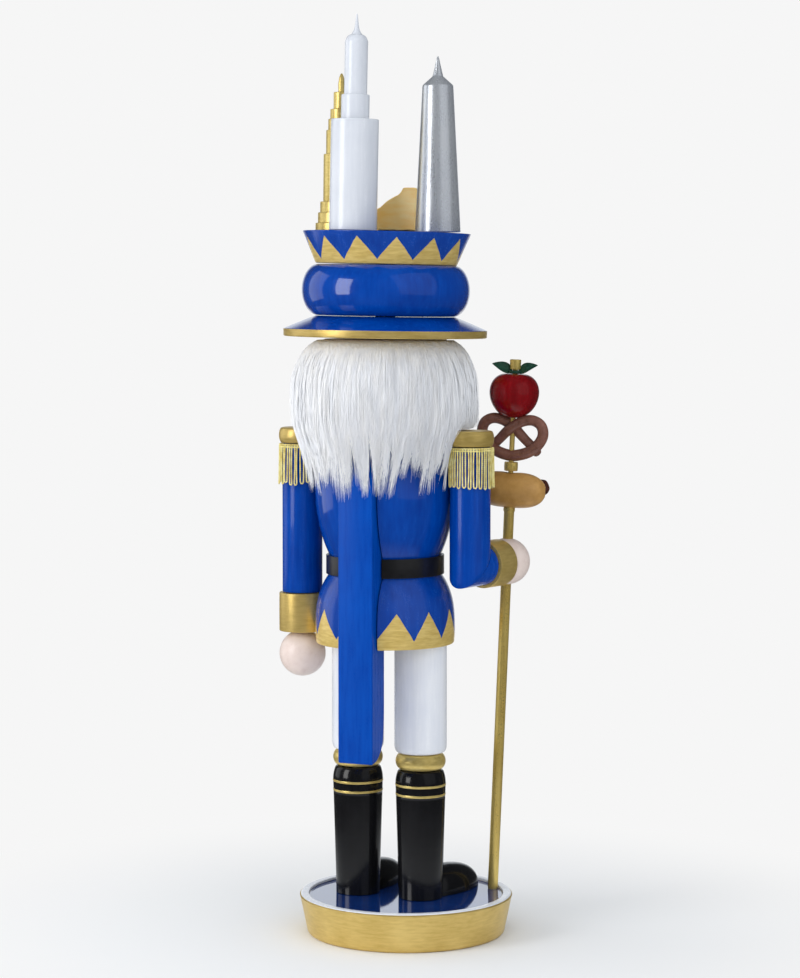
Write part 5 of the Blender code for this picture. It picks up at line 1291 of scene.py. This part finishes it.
def makeJaw():
    # the chin: y = root of reach^2 - x^2 in front, flat behind, with the lower teeth
    low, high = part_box("jaw")
    half = (high[0] - low[0]) / 2 - 0.05 * mm
    reach = axisY - low[1] - 0.03 * mm
    x = np.linspace(half, -half, 40)
    chin = table(x, -np.sqrt(reach**2 - x**2))
    line = np.vstack([chin, [(-half, high[1] - axisY), (half, high[1] - axisY)]])
    place = levelSlab(low, high)
    slabPiece("jawBlock", line, high[2] - low[2], 0.6 * mm, [skinPaint], place, stands="jaw",
              slot="skin", body="lever", crease=35)
    teeth("lowerTeeth", "lower_teeth", reach + 0.35 * mm, "lever")


# fur: tapered three-sided strands laid over soft pads
furShape = dict(radius=0.155 * mm, segments=7, wig=16500, overLever=2700, cheeks=2600, beard=2200,
                moustache=620, tufts=58, drape=12.9 * mm, over=8.0 * mm)
# in millimetres: the pad's inner radius, the roots' highest level and span, and half the lever's room
wigShape = dict(inner=31.9, rootTop=41.6, rootSpan=56.0, leverHalf=11.9)


def makeFurPaint():
    # white hair: upright streaks of noise between two near whites
    kit = PaintKit("whiteFur")
    tone = kit.noise(260, 3.0, 0.6, (1, 1, 0.12))
    colour = kit.blend(kit.ramp(tone, 0, 1, 0.35, 0.65), screenColour(246, 248, 253),
                       screenColour(254, 254, 255))
    return kit.set(Base_Color=colour, Roughness=0.55)


furPaint = makeFurPaint()


def strandPiece(name, paths, widths, lean, softness=0.78, **facts):
    # each strand is c(s) + w(s)(n cos a + b sin a) at three angles a, with w(s) = w (1 - 0.92 s^1.6)
    # towards its tip; its shading leans towards that of the pad beneath, so that the mass looks soft
    count, rings = paths.shape[:2]
    along = unit(np.gradient(paths, axis=1))
    side = unit(np.cross(along, lean))
    up = np.cross(side, along)
    s = np.linspace(0, 1, rings)
    thick = widths[:, None] * (1 - 0.92 * s**1.6)[None]
    a = np.radians([90.0, 210.0, 330.0])
    spoke = side[:, :, None] * np.cos(a)[:, None] + up[:, :, None] * np.sin(a)[:, None]
    points = (paths[:, :, None] + thick[..., None, None] * spoke).reshape(-1, 3)
    index = np.arange(count * rings * 3).reshape(count, rings, 3)
    turned = np.roll(index, -1, axis=2)
    quads = table(index[:, :-1], index[:, 1:], turned[:, 1:], turned[:, :-1]).reshape(-1, 4)
    faces = quads.tolist() + index[:, 0].tolist() + index[:, -1, ::-1].tolist()
    piece = makePiece(name, points, faces, [furPaint], slot="fur", crease=180, **facts)
    soft = unit(softness * lean[:, :, None] + (1 - softness) * spoke)
    piece.data.normals_split_custom_set_from_vertices(soft.reshape(-1, 3))
    return piece


def aroundHead(r, a, z):
    # points by distance, angle round the figure's axis and height over the head's foot, in millimetres
    return np.stack(np.broadcast_arrays(axisX + r * mm * np.cos(a), axisY + r * mm * np.sin(a),
                                        levels("head")[0] + z * mm), -1)


def wigRadius(height):
    # the wig's outline over the head's foot, in millimetres
    heights = [-60, -34, -24, -16, -10, 0, 9, 22, 30, 35, 39, 42.6]
    radii = [36.4, 36.6, 37.6, 39.2, 41.0, 44.4, 45.6, 45.4, 43.6, 41.4, 38.6, 33.6]
    return np.interp(height, heights, radii)


def tuftField(angles, tufts, rise):
    # each strand belongs to the nearest tuft; a tuft has its own place, lean and length
    places = np.linspace(-0.28, math.pi + 0.28, tufts) + dice.uniform(-0.025, 0.025, tufts)
    lean = dice.uniform(-0.12, 0.12, tufts)
    level = rise[0] + (rise[1] - rise[0]) * dice.random(tufts)
    which = np.abs(angles[:, None] - places[None]).argmin(axis=1)
    return places[which], lean[which], level[which]


def wigPaths(roots, angles, tips, spread=1.0):
    # r(s), a(s), z(s): down the pad's outline, drawn into tufts towards the tips and swayed by a slow wave
    s = np.linspace(0, 1, furShape["segments"] + 1)[None]
    places, lean, _ = tuftField(angles, furShape["tufts"], (0, 1))
    z = roots[:, None] + (tips - roots)[:, None] * s
    low = np.clip((6 - z) / 34, 0, 1)
    pull = (0.08 + 0.66 * dice.random(len(roots)) ** 0.8)[:, None] * low * s
    wave = (0.020 * np.sin(7 * angles + 1.1) + 0.012 * np.sin(19 * angles + 0.4))[:, None] * s
    a = angles[:, None] + (places - angles)[:, None] * pull + lean[:, None] * (low * s) + wave
    a = a + dice.normal(0, 0.010, len(roots))[:, None] * s * (1 + 1.6 * low)
    lift = (dice.uniform(0.10, 0.75, len(roots)) + 2.2 * dice.random(len(roots)) ** 12)[:, None] * spread
    r = wigRadius(z) + 0.15 + lift * s**0.7 + 0.5 * np.sin(math.pi * s)
    clear = 39.3 + 0.5 * lift
    across = np.abs(r * np.cos(a)) < 11.0
    r = np.where(across & (z < 8), np.maximum(r, clear / np.sin(a).clip(0.5, 1)), r)
    paths = aroundHead(r, a, z)
    # where they come down over an epaulette they are eased out to lie round its back
    shoulders = (levels("epaulette_left")[1] - levels("head")[0]) / mm
    ease = np.clip((shoulders + 7 - z) / 7, 0, 1)
    ease = ease * ease * (3 - 2 * ease)
    for side in ("left", "right"):
        off = paths[..., :2] - middle(f"sleeve_{side}")
        gap = np.linalg.norm(off, axis=-1).clip(1e-6)
        need = (furShape["drape"] + lift * 0.6 * mm - gap).clip(0, None) * ease
        need = need * (off[..., 1] > 0) * (tips < shoulders)[:, None]
        paths[..., :2] += off / gap[..., None] * need[..., None]
    lean = table(np.cos(a), np.sin(a), 0.25 + 0.35 * np.clip((z - 15) / 25, -0.4, 1.0))
    return paths, unit(lean)


def makeWig():
    # the pad, its strands, those beside the face, and those that hang over the lever
    s = furShape
    foot = levels("head")[0]
    # the pad: two walls of one outline between the ends of the open face, with room cut for the lever
    a = np.linspace(math.radians(-15), math.radians(195), 151)
    z = np.concatenate([np.linspace(42.0, 0, 30), np.linspace(-2, -11.5, 8)])
    outer = wigRadius(z) - 0.1
    inner = np.concatenate([np.full(30, 31.5), np.linspace(wigShape["inner"], 36.2, 8)])
    ring = np.concatenate([np.stack([outer, z], 1), np.stack([inner, z], 1)[::-1]])
    points, faces = gridMesh(aroundHead(ring[None, :, 0], a[:, None], ring[None, :, 1]))
    faces = [face[::-1] for face in faces]
    pad = makePiece("wigPad", points, faces, [furPaint], stands="hair", slot="fur", crease=60)
    low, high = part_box("jaw_lever")
    room = 0.8 * mm
    shoulders = levels("epaulette_left")[1] + 0.6 * mm
    rest = (shoulders - foot) / mm                      # where the fur comes to lie on the shoulders
    under, far, beside = foot - 0.1, 0.2, 29 * mm
    boxes = [((low[0] - room, axisY, under), (high[0] + room, far, foot + 9.4 * mm)),
             ((-far, -far, under), (axisX - beside, far, shoulders)),
             ((axisX + beside, -far, under), (far, far, shoulders)),
             ((-far, -far, under), (far, axisY + 14 * mm, shoulders))]
    tools = [boxTool(f"wigRoom{k}", *corners) for k, corners in enumerate(boxes)]
    carve(pad, tools)
    dropTools(*tools)
    # strands hang free behind the shoulders, end over the epaulettes beside them, and skip the lever's room
    count = s["wig"]
    angles = dice.uniform(math.radians(-14), math.radians(194), count)
    roots = wigShape["rootTop"] - wigShape["rootSpan"] * dice.random(count) ** 0.92
    off = table(axisX + 41 * mm * np.cos(angles), axisY + 41 * mm * np.sin(angles))[:, None]
    off = off - np.array([middle("sleeve_left"), middle("sleeve_right")])[None]
    free = ((np.linalg.norm(off, axis=2) > s["over"]) & (off[..., 1] > 0)).all(axis=1)
    _, _, level = tuftField(angles, s["tufts"], (-36.0, -19.0))
    hang = -8 + (level + 8) * dice.random(count) ** 1.35
    tips = np.where(roots > 14, roots - dice.uniform(24, 42, count), hang)
    covered = rest - 0.1 + 1.6 * dice.random(count) ** 1.6
    tips = np.where(free, np.maximum(tips, -37), np.maximum(tips, covered))
    across = np.abs(45 * np.cos(angles)) < wigShape["leverHalf"]
    keep = (roots - tips > 6) & ~(across & (roots < 11)) & ~(across & (tips < 3))
    keep &= free | (roots > rest + 6.5)
    angles, roots, tips = angles[keep], roots[keep], tips[keep]
    paths, lean = wigPaths(roots, angles, tips)
    widths = s["radius"] * dice.uniform(0.7, 1.3, len(roots))
    for k, part in enumerate(np.array_split(np.argsort(angles), 4)):
        strandPiece(f"wigFur.{k}", paths[part], widths[part], lean[part])
    cheekFur(rest)
    # strands that hang over the lever, between the figure and the lever, ride on no body
    count = s["overLever"]
    angles = math.pi / 2 + dice.uniform(-0.30, 0.30, count)
    roots = 11.5 + 28 * dice.random(count)
    _, _, level = tuftField(angles, s["tufts"], (-38.0, -26.0))
    tips = -9 + (level + 9) * dice.random(count) ** 0.75
    tips = np.where(roots > 26, np.maximum(tips, roots - 46), tips)
    paths, lean = wigPaths(roots, angles, tips)
    piece = strandPiece("wigFurOverLever", paths, s["radius"] * dice.uniform(0.75, 1.25, count), lean,
                        body=None)
    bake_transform(piece)


def cheekFur(rest):
    # strands over the wig's two front ends: r runs between the pad's walls at a share of its thickness
    s = furShape
    count = s["cheeks"]
    right = dice.random(count) < 0.5
    forward = np.where(right, -1.0, 1.0)[:, None]
    run = np.linspace(0, 1, s["segments"] + 1)[None]
    roots = 9 + 33 * dice.random(count)
    tips = np.maximum(roots - dice.uniform(16, 32, count), rest - 0.1 + 1.5 * dice.random(count) ** 1.6)
    z = roots[:, None] + (tips - roots)[:, None] * run
    share = dice.uniform(0.02, 1.06, count)[:, None]
    r = wigShape["inner"] + (wigRadius(z) - wigShape["inner"]) * share
    proud = 0.05 + dice.uniform(0.1, 0.9, count)[:, None] * run ** 0.8 * (1 - 0.6 * share)
    a = np.radians(np.where(right, -15.0, 195.0))[:, None] + forward * proud / r
    a = a + dice.normal(0, 0.006, count)[:, None] * run
    paths = aroundHead(r, a, z)
    face = table(-np.sin(a) * forward, np.cos(a) * forward, 0 * a + 0.15)
    round_ = table(np.cos(a), np.sin(a), 0 * a)
    lean = face * (1 - 0.75 * share[..., None]) + round_ * share[..., None]
    strandPiece("wigFurFront", paths, s["radius"] * dice.uniform(0.75, 1.25, count), unit(lean), softness=0.5)


def beardRoom(height):
    # how far out the beard has to stay at a height over the head's foot, in millimetres, to clear the chest
    return np.minimum(36.4 - 0.5 * height, 45.6)


# in millimetres: the pad's half width, radius and depth, then the strands' radius, depth, length and tufts
beardShape = dict(half=15.2, reach=34.3, depth=8.6, rounding=15.9, strandReach=34.9, strandDepth=8.2,
                  shortest=15, more=9, atSides=5.5, tufts=9)


def makeBeard():
    # a bent pad under strands that hang from the jaw and gather in tufts
    s, b = furShape, beardShape
    low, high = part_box("beard")
    x = np.linspace(-b["half"], b["half"], 41) * mm
    reach = b["reach"] * mm
    back = table(x, -np.sqrt(reach**2 - x**2))
    bow = (1 - (x / (b["rounding"] * mm)) ** 2) ** 0.5
    front = table(x, -np.sqrt(reach**2 - x**2) - b["depth"] * mm * bow)[::-1]
    place = levelSlab(low, high)
    pad = slabPiece("beardPad", np.vstack([back, front]), high[2] - low[2], 1.0 * mm, [furPaint], place,
                    steps=5, stands="beard", slot="fur", body="lever", crease=60)
    # its back leans out towards the foot, so that the chest has room when the mouth is open
    foot = levels("head")[0]
    cone = [(0, high[2] + mm), (beardRoom(high[2] / mm + 1 - foot / mm) * mm, high[2] + mm),
            (beardRoom(low[2] / mm - 1 - foot / mm) * mm, low[2] - mm), (0, low[2] - mm)]
    tool = carvingTool("beardCone", *latheMesh(np.array(cone), uprightFrame(axisX, axisY), 96))
    carve(pad, tool)
    dropTools(tool)
    count = s["beard"]
    u = dice.uniform(-1, 1, count)
    depth = dice.random(count) ** 0.6
    top = (high[2] - levels("head")[0]) / mm
    z0 = top - 0.3 - 8.0 * dice.random(count)
    length = b["shortest"] + b["more"] * dice.random(count) - b["atSides"] * u**2
    t = np.linspace(0, 1, s["segments"] + 1)[None]
    tufts = np.linspace(-1, 1, b["tufts"]) + dice.uniform(-0.06, 0.06, b["tufts"])
    near = tufts[np.abs(u[:, None] - tufts[None]).argmin(axis=1)]
    across = (u[:, None] + (near - u)[:, None] * 0.55 * t**1.5) * (15.0 - 3.0 * t**1.5)
    z = z0[:, None] - length[:, None] * t
    bulge = np.sqrt(1 - 0.9 * u[:, None] ** 2)
    swell = (b["strandReach"] + b["strandDepth"] * depth[:, None] * bulge) + 1.6 * np.sin(math.pi * t * 0.8)
    # the braid stands out from the chest behind the middle strands
    braid = 1.7 * np.exp(-((across / 3.2) ** 2))
    swell = np.maximum(swell, beardRoom(z) + braid + 0.3 + 0.3 * (swell - b["strandReach"]))
    paths = table(axisX + across * mm, axisY - np.sqrt(swell**2 - across**2 * 0.8) * mm, foot + z * mm)
    lean = table(across * 0.8, -swell, 0 * z - 6)
    strandPiece("beardFur", paths, s["radius"] * dice.uniform(0.75, 1.25, count), unit(lean), body="lever")


def makeMoustache():
    # a bent pad, highest in the middle: z = rise - 3 t^2, under strands that run outwards
    s, h = furShape, headShape
    foot = levels("head")[0]
    t = np.linspace(-1, 1, 41)
    angle = t * (h["moustacheHalf"] - 0.6 * mm) / h["radius"]
    reach = h["radius"] + 1.4 * mm
    path = table(axisX + reach * np.sin(angle), axisY - reach * np.cos(angle),
                 foot + h["moustacheRise"] - 3.0 * mm * t**2)
    rodPiece("moustachePad", path, 1.35 * mm * np.sqrt(np.clip(1 - t**2, 0.02, 1)), [furPaint], 16,
             stands="moustache", slot="fur", crease=70)
    count = s["moustache"]
    side = np.where(dice.random(count) < 0.5, -1.0, 1.0)
    start = dice.random(count) ** 1.2 * 0.62
    end = np.minimum(start + dice.uniform(0.35, 0.6, count), 1.12)
    u = start[:, None] + (end - start)[:, None] * np.linspace(0, 1, s["segments"] + 1)[None]
    around = dice.uniform(-1.2, 1.9, count)[:, None]
    half = 1.45 * (1 - 0.72 * np.clip(u, 0, 1.1) ** 2)
    angle = side[:, None] * u * 14.0 / 31.0
    r = 32.2 + half * np.cos(around)
    z = h["moustacheRise"] / mm - 3.4 * u**2 + half * np.sin(around)
    paths = table(axisX + r * mm * np.sin(angle), axisY - r * mm * np.cos(angle), foot + z * mm)
    lean = table(np.sin(angle), -np.cos(angle), 0.5 * np.sin(around) + 0 * u)
    strandPiece("moustacheFur", paths, 0.8 * s["radius"] * dice.uniform(0.75, 1.25, count), unit(lean))


# hat: brim, roll, crown, three towers and the cut-out plate, all set a little askew
hatShape = dict(lift=0.9 * mm, tilt=-0.8, tiltTurn=22.5, gap=0.3 * mm, brim=51.1 * mm, edge=3.8 * mm,
                dome=10.4 * mm, neck=35.0 * mm, roll=42.2 * mm, rollHeight=25.4 * mm, crownTop=42.2 * mm,
                crownFoot=35.4 * mm, crownHeight=16.0 * mm, crownLean=-1.3, toothPeak=119.6,
                toothPitch=360 / 13, toothTop=2.8 * mm, toothFoot=1.9 * mm, sides=180)
rollFoot = hatShape["dome"] + hatShape["gap"]
crownFoot = rollFoot + hatShape["rollHeight"] + hatShape["gap"]
towerFoot = crownFoot + hatShape["crownHeight"] + hatShape["gap"]


def leaning(degrees):
    # axes leaned by an angle, the way the hat leans
    k = math.radians(hatShape["tiltTurn"])
    return np.array(Matrix.Rotation(math.radians(degrees), 3, Vector((-math.sin(k), math.cos(k), 0)))).T


def onHat(x=0.0, y=0.0, height=0.0, lean=None):
    # a place turned by the hat's tilt about a level line through the middle of the brim's underside; a
    # piece that is set more or less askew on it has a lean of its own
    s = hatShape
    axes = leaning(s["tilt"])
    place = np.array([axisX, axisY, levels("head")[1] + s["lift"]]) + np.array([x, y, height]) @ axes
    return place, axes if lean is None else leaning(lean)


def makeHat():
    # brim: height = dome - (dome - edge) * share^1.05; roll: radius = neck + (roll - neck) * cos(a)^1.15
    s = hatShape
    r = np.linspace(s["neck"], s["brim"], 30)
    fall = ((r - s["neck"]) / (s["brim"] - s["neck"])) ** 1.05
    dome = table(r, s["dome"] - (s["dome"] - s["edge"]) * fall)
    edge = bendCorners([dome[-2], [s["brim"], s["edge"]], [s["brim"] - 0.1 * mm, 0],
                        [s["brim"] - 4 * mm, 0]], 0.7 * mm, 4)
    profile = np.vstack([[0, s["dome"]], dome[:-1], edge[1:], [0, 0]])
    gold = (profile[1:, 1] < s["edge"] - 0.1 * mm).astype(int)
    turnedPiece("hatBrim", profile, [blueTurned, goldRound], onHat(), s["sides"],
                bands=gold, stands="hat_brim", slot="coat")
    half = s["rollHeight"] / 2
    a = np.linspace(math.pi / 2, -math.pi / 2, 48)
    swell = table(s["neck"] + (s["roll"] - s["neck"]) * np.cos(a) ** 1.15, half + half * np.sin(a))
    turnedPiece("hatRoll", np.vstack([[0, 2 * half], swell, [0, 0]]), [blueTurned],
                onHat(height=rollFoot), s["sides"], stands="hat_roll", slot="coat")
    place = onHat(height=crownFoot, lean=s["crownLean"])
    top = s["crownHeight"]
    paint = toothedPaint("crownPaint", place, s, top - s["toothTop"])
    line = bendCorners([(0, top), (s["crownTop"], top), (s["crownFoot"], 0), (0, 0)], 0.55 * mm, 4)
    turnedPiece("hatCrown", line, [paint], place, s["sides"],
                stands="hat_crown", slot="coat")


towerShape = dict(whiteSteps=((11.8, 54.6), (7.0, 12.1), (5.7, 26.2)),
                  goldSteps=((12.5, 4.3), (11.3, 5.3), (10.2, 5.5), (8.7, 24.0), (7.5, 12.1), (6.5, 5.6),
                             (5.5, 5.0), (3.9, 8.6)),
                  silverFoot=11.4, silverTop=7.7, silverHeight=73.0, whiteAt=(6.6, 27.2), goldAt=(27.6, -4.9),
                  silverAt=(-25.8,
                            -4.5), whiteLean=-1.15, goldLean=-0.6, silverLean=0.0, plateY=-30.0,
                            plateHalf=20.5, plateHeight=23.2, plateThick=3.0)


def steppedLine(steps, spire, corner):
    # radii and heights of a stack of cylinders, from the spire's tip down to the foot, in metres
    points, z = [], 0.0
    for radius, height in steps:
        points += [(radius, z), (radius, z + height)]
        z += height
    points += [(r, z + h) for r, h in spire]
    points = np.array([(0, points[-1][1])] + points[::-1] + [(0, 0)]) * mm
    return bendCorners(points, corner, 3)


def makeTowers():
    # the plate and three turned towers: white and gold as a line of steps, silver as a cone under its point
    s = towerShape
    white, gold, silver = (onHat(s[key + "At"][0] * mm, s[key + "At"][1] * mm, towerFoot, s[key + "Lean"])
                           for key in ("white", "gold", "silver"))
    spire = ((4.9, 1.9), (3.9, 2.9), (2.75, 3.3), (2.4, 3.7), (1.75, 4.9), (1.2, 6.2), (0.7, 9.9),
             (0.3, 13.4))
    turnedPiece("towerWhite", steppedLine(s["whiteSteps"], spire, 0.5 * mm), [towerWhite],
                white, 96, stands="tower_white", slot="tower_white")
    bullet = ((1.6, 0.0), (1.7, 4.0), (1.2, 7.5), (0.4, 9.4))
    turnedPiece("towerGold", steppedLine(s["goldSteps"], bullet, 0.35 * mm), [goldFineLit],
                gold, 96, stands="tower_gold", slot="tower_gold")
    h = s["silverHeight"]
    line = np.array([(0, h + 14.4), (0.4, h + 14.4), (1.45, h + 9.6), (2.65, h + 4.5), (s["silverTop"], h),
                     (s["silverFoot"], 0), (0, 0)]) * mm
    turnedPiece("towerSilver", bendCorners(line, [0, 0.1 * mm, 4 * mm, 0.4 * mm, 0.7 * mm, 0.5 * mm, 0], 5),
                [silverPaint], silver, 96, stands="tower_silver", slot="tower_silver")
    makePlate()


def makePlate():
    # the outline's right half runs from its low end up a step to the raised middle; the left half mirrors it
    s = towerShape
    half = [(1.00, 0.48), (0.78, 0.56), (0.60, 0.70), (0.40, 0.80), (0.29, 0.84), (0.22, 0.90), (0.16, 1.0)]
    upper = [(x * s["plateHalf"], z * s["plateHeight"]) for x, z in half]
    upper += [(-x, z) for x, z in upper[::-1]]
    feet = []
    for left, right in ((-1.0, -0.80), (-0.32, -0.10), (0.10, 0.32), (0.80, 1.0)):
        a, b = left * s["plateHalf"], right * s["plateHalf"]
        feet += [(a, 1.2 if feet else 0.0), (a, 0.0), (b, 0.0), (b, 1.2 if right < 1 else 0.0)]
    line = bendCorners(np.array(upper + feet[1:-1]) * mm, 0.9 * mm, 3, True)
    # the plate's colour is pushed lighter than the wood's own: painted light where it stands in the shade of
    # the towers
    kit = brushedPaint("plateWoodLit", (255, 228, 158), (250, 202, 112), 0.34, streak=(0.25, 1, 1),
                       streakScale=260, lumps=0.00010)
    origin, axes = onHat(0.0, s["plateY"] * mm, towerFoot)
    place = (origin, np.array([[0.0, -1, 0], [1, 0, 0], [0, 0, 1]]) @ axes)
    slabPiece("hatPlate", line, s["plateThick"] * mm, 0.5 * mm, [kit], place, stands="hat_plate",
              slot="plate", crease=35)


# make every piece
makeBase()
makeLegs()
print("base and legs made")
slot = slotTool()
makeCoat(slot)
makeBraid()
makeLever()
print("coat made")
makeHead(slot)
dropTools(slot)
print("head made")
makeWig()
makeBeard()
makeMoustache()
print("hair, beard and moustache made")
makeArms()
makeStaff()
print("arms and staff made")
makeHat()
makeTowers()
print("hat made")


# the studio: a sheet of pale paper, soft lights and the camera
studio = dict(centre=(2.8 * mm, 1.15 * mm), away=1.390, turn=22.5, cameraZ=0.326, aimZ=0.2726,
              lens=101.96, shift=-0.0995, paper=(0.925, 0.925, 0.925), backdrop=(0.922, 0.922, 0.922),
              fadeFrom=0.07, fadeTo=0.30, room=0.60, reflected=0.045, behind=(0.90, 0.97))
# each light: degrees right of the camera, metres away, height, (width and height), power, colour
lights = dict(key=(-60, 1.15, 0.50, 0.46, 0.85, 6.0, (1.0, 0.99, 0.98)),
              edge=(-111, 1.00, 0.40, 0.60, 1.00, 1.7, (0.96, 0.98, 1.0)),
              panel=(45, 1.30, 0.75, 1.50, 1.90, 2.5, (0.97, 0.98, 1.0)),
              fill=(12, 1.50, 0.70, 1.20, 1.20, 5.0, (0.98, 0.98, 1.0)),
              top=(10, 0.25, 1.45, 0.90, 0.90, 3.2, (1.0, 1.0, 1.0)))


def softbox(name, place, aim, size, power, colour):
    # one rectangular light, aimed at a point
    light = bpy.data.lights.new(name, "AREA")
    light.shape = "RECTANGLE"
    light.size, light.size_y = size
    light.energy = power
    light.color = colour
    holder = bpy.data.objects.new(name, light)
    holder.location = place
    holder.rotation_euler = (Vector(aim) - Vector(place)).to_track_quat("-Z", "Y").to_euler()
    bpy.context.scene.collection.objects.link(holder)
    return holder


def roundFigure(angle, away, height):
    # a place seen from the figure at an angle to the right of the camera; 0 is the camera's own direction
    k = math.radians(studio["turn"] + angle)
    return (studio["centre"][0] - math.sin(k) * away, studio["centre"][1] + math.cos(k) * away, height)


def alongView(tree, place):
    # how far a place or a direction lies behind the figure, on the level line that the camera looks along
    k = math.radians(studio["turn"])
    node = tree.nodes.new("ShaderNodeVectorMath")
    node.operation = "DOT_PRODUCT"
    tree.links.new(place, node.inputs[0])
    node.inputs[1].default_value = (math.sin(k), -math.cos(k), 0)
    return node.outputs["Value"]


def makePaper(ground):
    # the paper takes shadows round the figure, and away from it turns into the plain tone of the backdrop
    s, reach = studio, 6.0
    mesh = bpy.data.meshes.new("paperFloor")
    mesh.from_pydata([(-reach, -reach, ground), (reach, -reach, ground), (reach, reach, ground),
                      (-reach, reach, ground)], [], [[0, 1, 2, 3]])
    paper = PaintKit("paper")
    paper.set(Base_Color=(*s["paper"], 1.0), Roughness=0.9)
    away = paper.add("ShaderNodeVectorMath", operation="LENGTH")
    paper.wire(paper.place, away.inputs[0])
    far = paper.ramp(away.outputs["Value"], 0.0, 1.0, s["fadeFrom"], s["fadeTo"], True)
    path = paper.add("ShaderNodeLightPath")
    plain = paper.add("ShaderNodeEmission")
    straight = paper.add("ShaderNodeVectorMath", operation="NORMALIZE")
    paper.wire(paper.place, straight.inputs[0])
    behind = paper.ramp(alongView(paper.tree, straight.outputs["Vector"]), 0.0, 1.0, *s["behind"], True)
    shine = paper.blend(behind, (*[s["reflected"]] * 3, 1.0), (*s["backdrop"], 1.0))
    tone = paper.blend(path.outputs["Is Camera Ray"], shine, (*s["backdrop"], 1.0))
    paper.wire(tone, plain.inputs["Color"])
    mix = paper.add("ShaderNodeMixShader")
    paper.wire(paper.times(far, paper.minus(1.0, path.outputs["Is Diffuse Ray"])), mix.inputs["Fac"])
    paper.wire(paper.shader.outputs["BSDF"], mix.inputs[1])
    paper.wire(plain.outputs["Emission"], mix.inputs[2])
    paper.wire(mix.outputs["Shader"], paper.tree.nodes["Material Output"].inputs["Surface"])
    mesh.materials.append(paper.material)
    sheet = bpy.data.objects.new("paperFloor", mesh)
    bpy.context.scene.collection.objects.link(sheet)


def makeRoom():
    # the camera sees the backdrop's tone, polished faces see it or the dim room in front, the rest its light
    s = studio
    world = bpy.data.worlds.new("studio")
    bpy.context.scene.world = world
    world.use_nodes = True
    tree = world.node_tree
    room = tree.nodes["Background"]
    room.inputs["Color"].default_value = (0.90, 0.95, 1.0, 1.0)
    path = tree.nodes.new("ShaderNodeLightPath")
    shine = tree.nodes.new("ShaderNodeMapRange")
    tree.links.new(alongView(tree, tree.nodes.new("ShaderNodeTexCoord").outputs["Generated"]),
                   shine.inputs["Value"])
    shine.inputs["From Min"].default_value, shine.inputs["From Max"].default_value = s["behind"]
    shine.inputs["To Min"].default_value = s["reflected"]
    shine.inputs["To Max"].default_value = s["backdrop"][0]
    level = tree.nodes.new("ShaderNodeMapRange")
    level.inputs["To Min"].default_value = s["room"]
    seen = tree.nodes.new("ShaderNodeBackground")
    seen.inputs["Color"].default_value = (*s["backdrop"], 1.0)
    mix = tree.nodes.new("ShaderNodeMixShader")
    for source, target in ((path.outputs["Is Glossy Ray"], level.inputs["Value"]),
                           (shine.outputs["Result"], level.inputs["To Max"]),
                           (level.outputs["Result"], room.inputs["Strength"]),
                           (path.outputs["Is Camera Ray"], mix.inputs["Fac"]),
                           (room.outputs["Background"], mix.inputs[1]),
                           (seen.outputs["Background"], mix.inputs[2]),
                           (mix.outputs["Shader"], tree.nodes["World Output"].inputs["Surface"])):
        tree.links.new(source, target)


def makeStudio():
    # the paper, the room, the lights and the camera
    s = studio
    makePaper(levels("base_disc")[0] - 0.05 * mm)
    makeRoom()
    x, y = s["centre"]
    for name, (angle, away, height, wide, high, power, colour) in lights.items():
        box = softbox(name + "Light", roundFigure(angle, away, height), (x, y, 0.24), (wide, high), power,
                      colour)
        # these two light the figure without a reflection
        box.visible_glossy = name not in ("fill", "top")
    camera = bpy.data.cameras.new("camera")
    camera.lens, camera.sensor_width = s["lens"], 36.0
    camera.shift_y = s["shift"]
    camera.clip_start, camera.clip_end = 0.05, 30.0
    holder = bpy.data.objects.new("camera", camera)
    holder.location = roundFigure(0, s["away"], s["cameraZ"])
    holder.rotation_euler = (Vector((x, y, s["aimZ"])) - holder.location).to_track_quat("-Z", "Y").to_euler()
    bpy.context.scene.collection.objects.link(holder)
    bpy.context.scene.camera = holder


makeStudio()
bpy.context.scene.view_settings.view_transform = "Standard"
print("studio set")
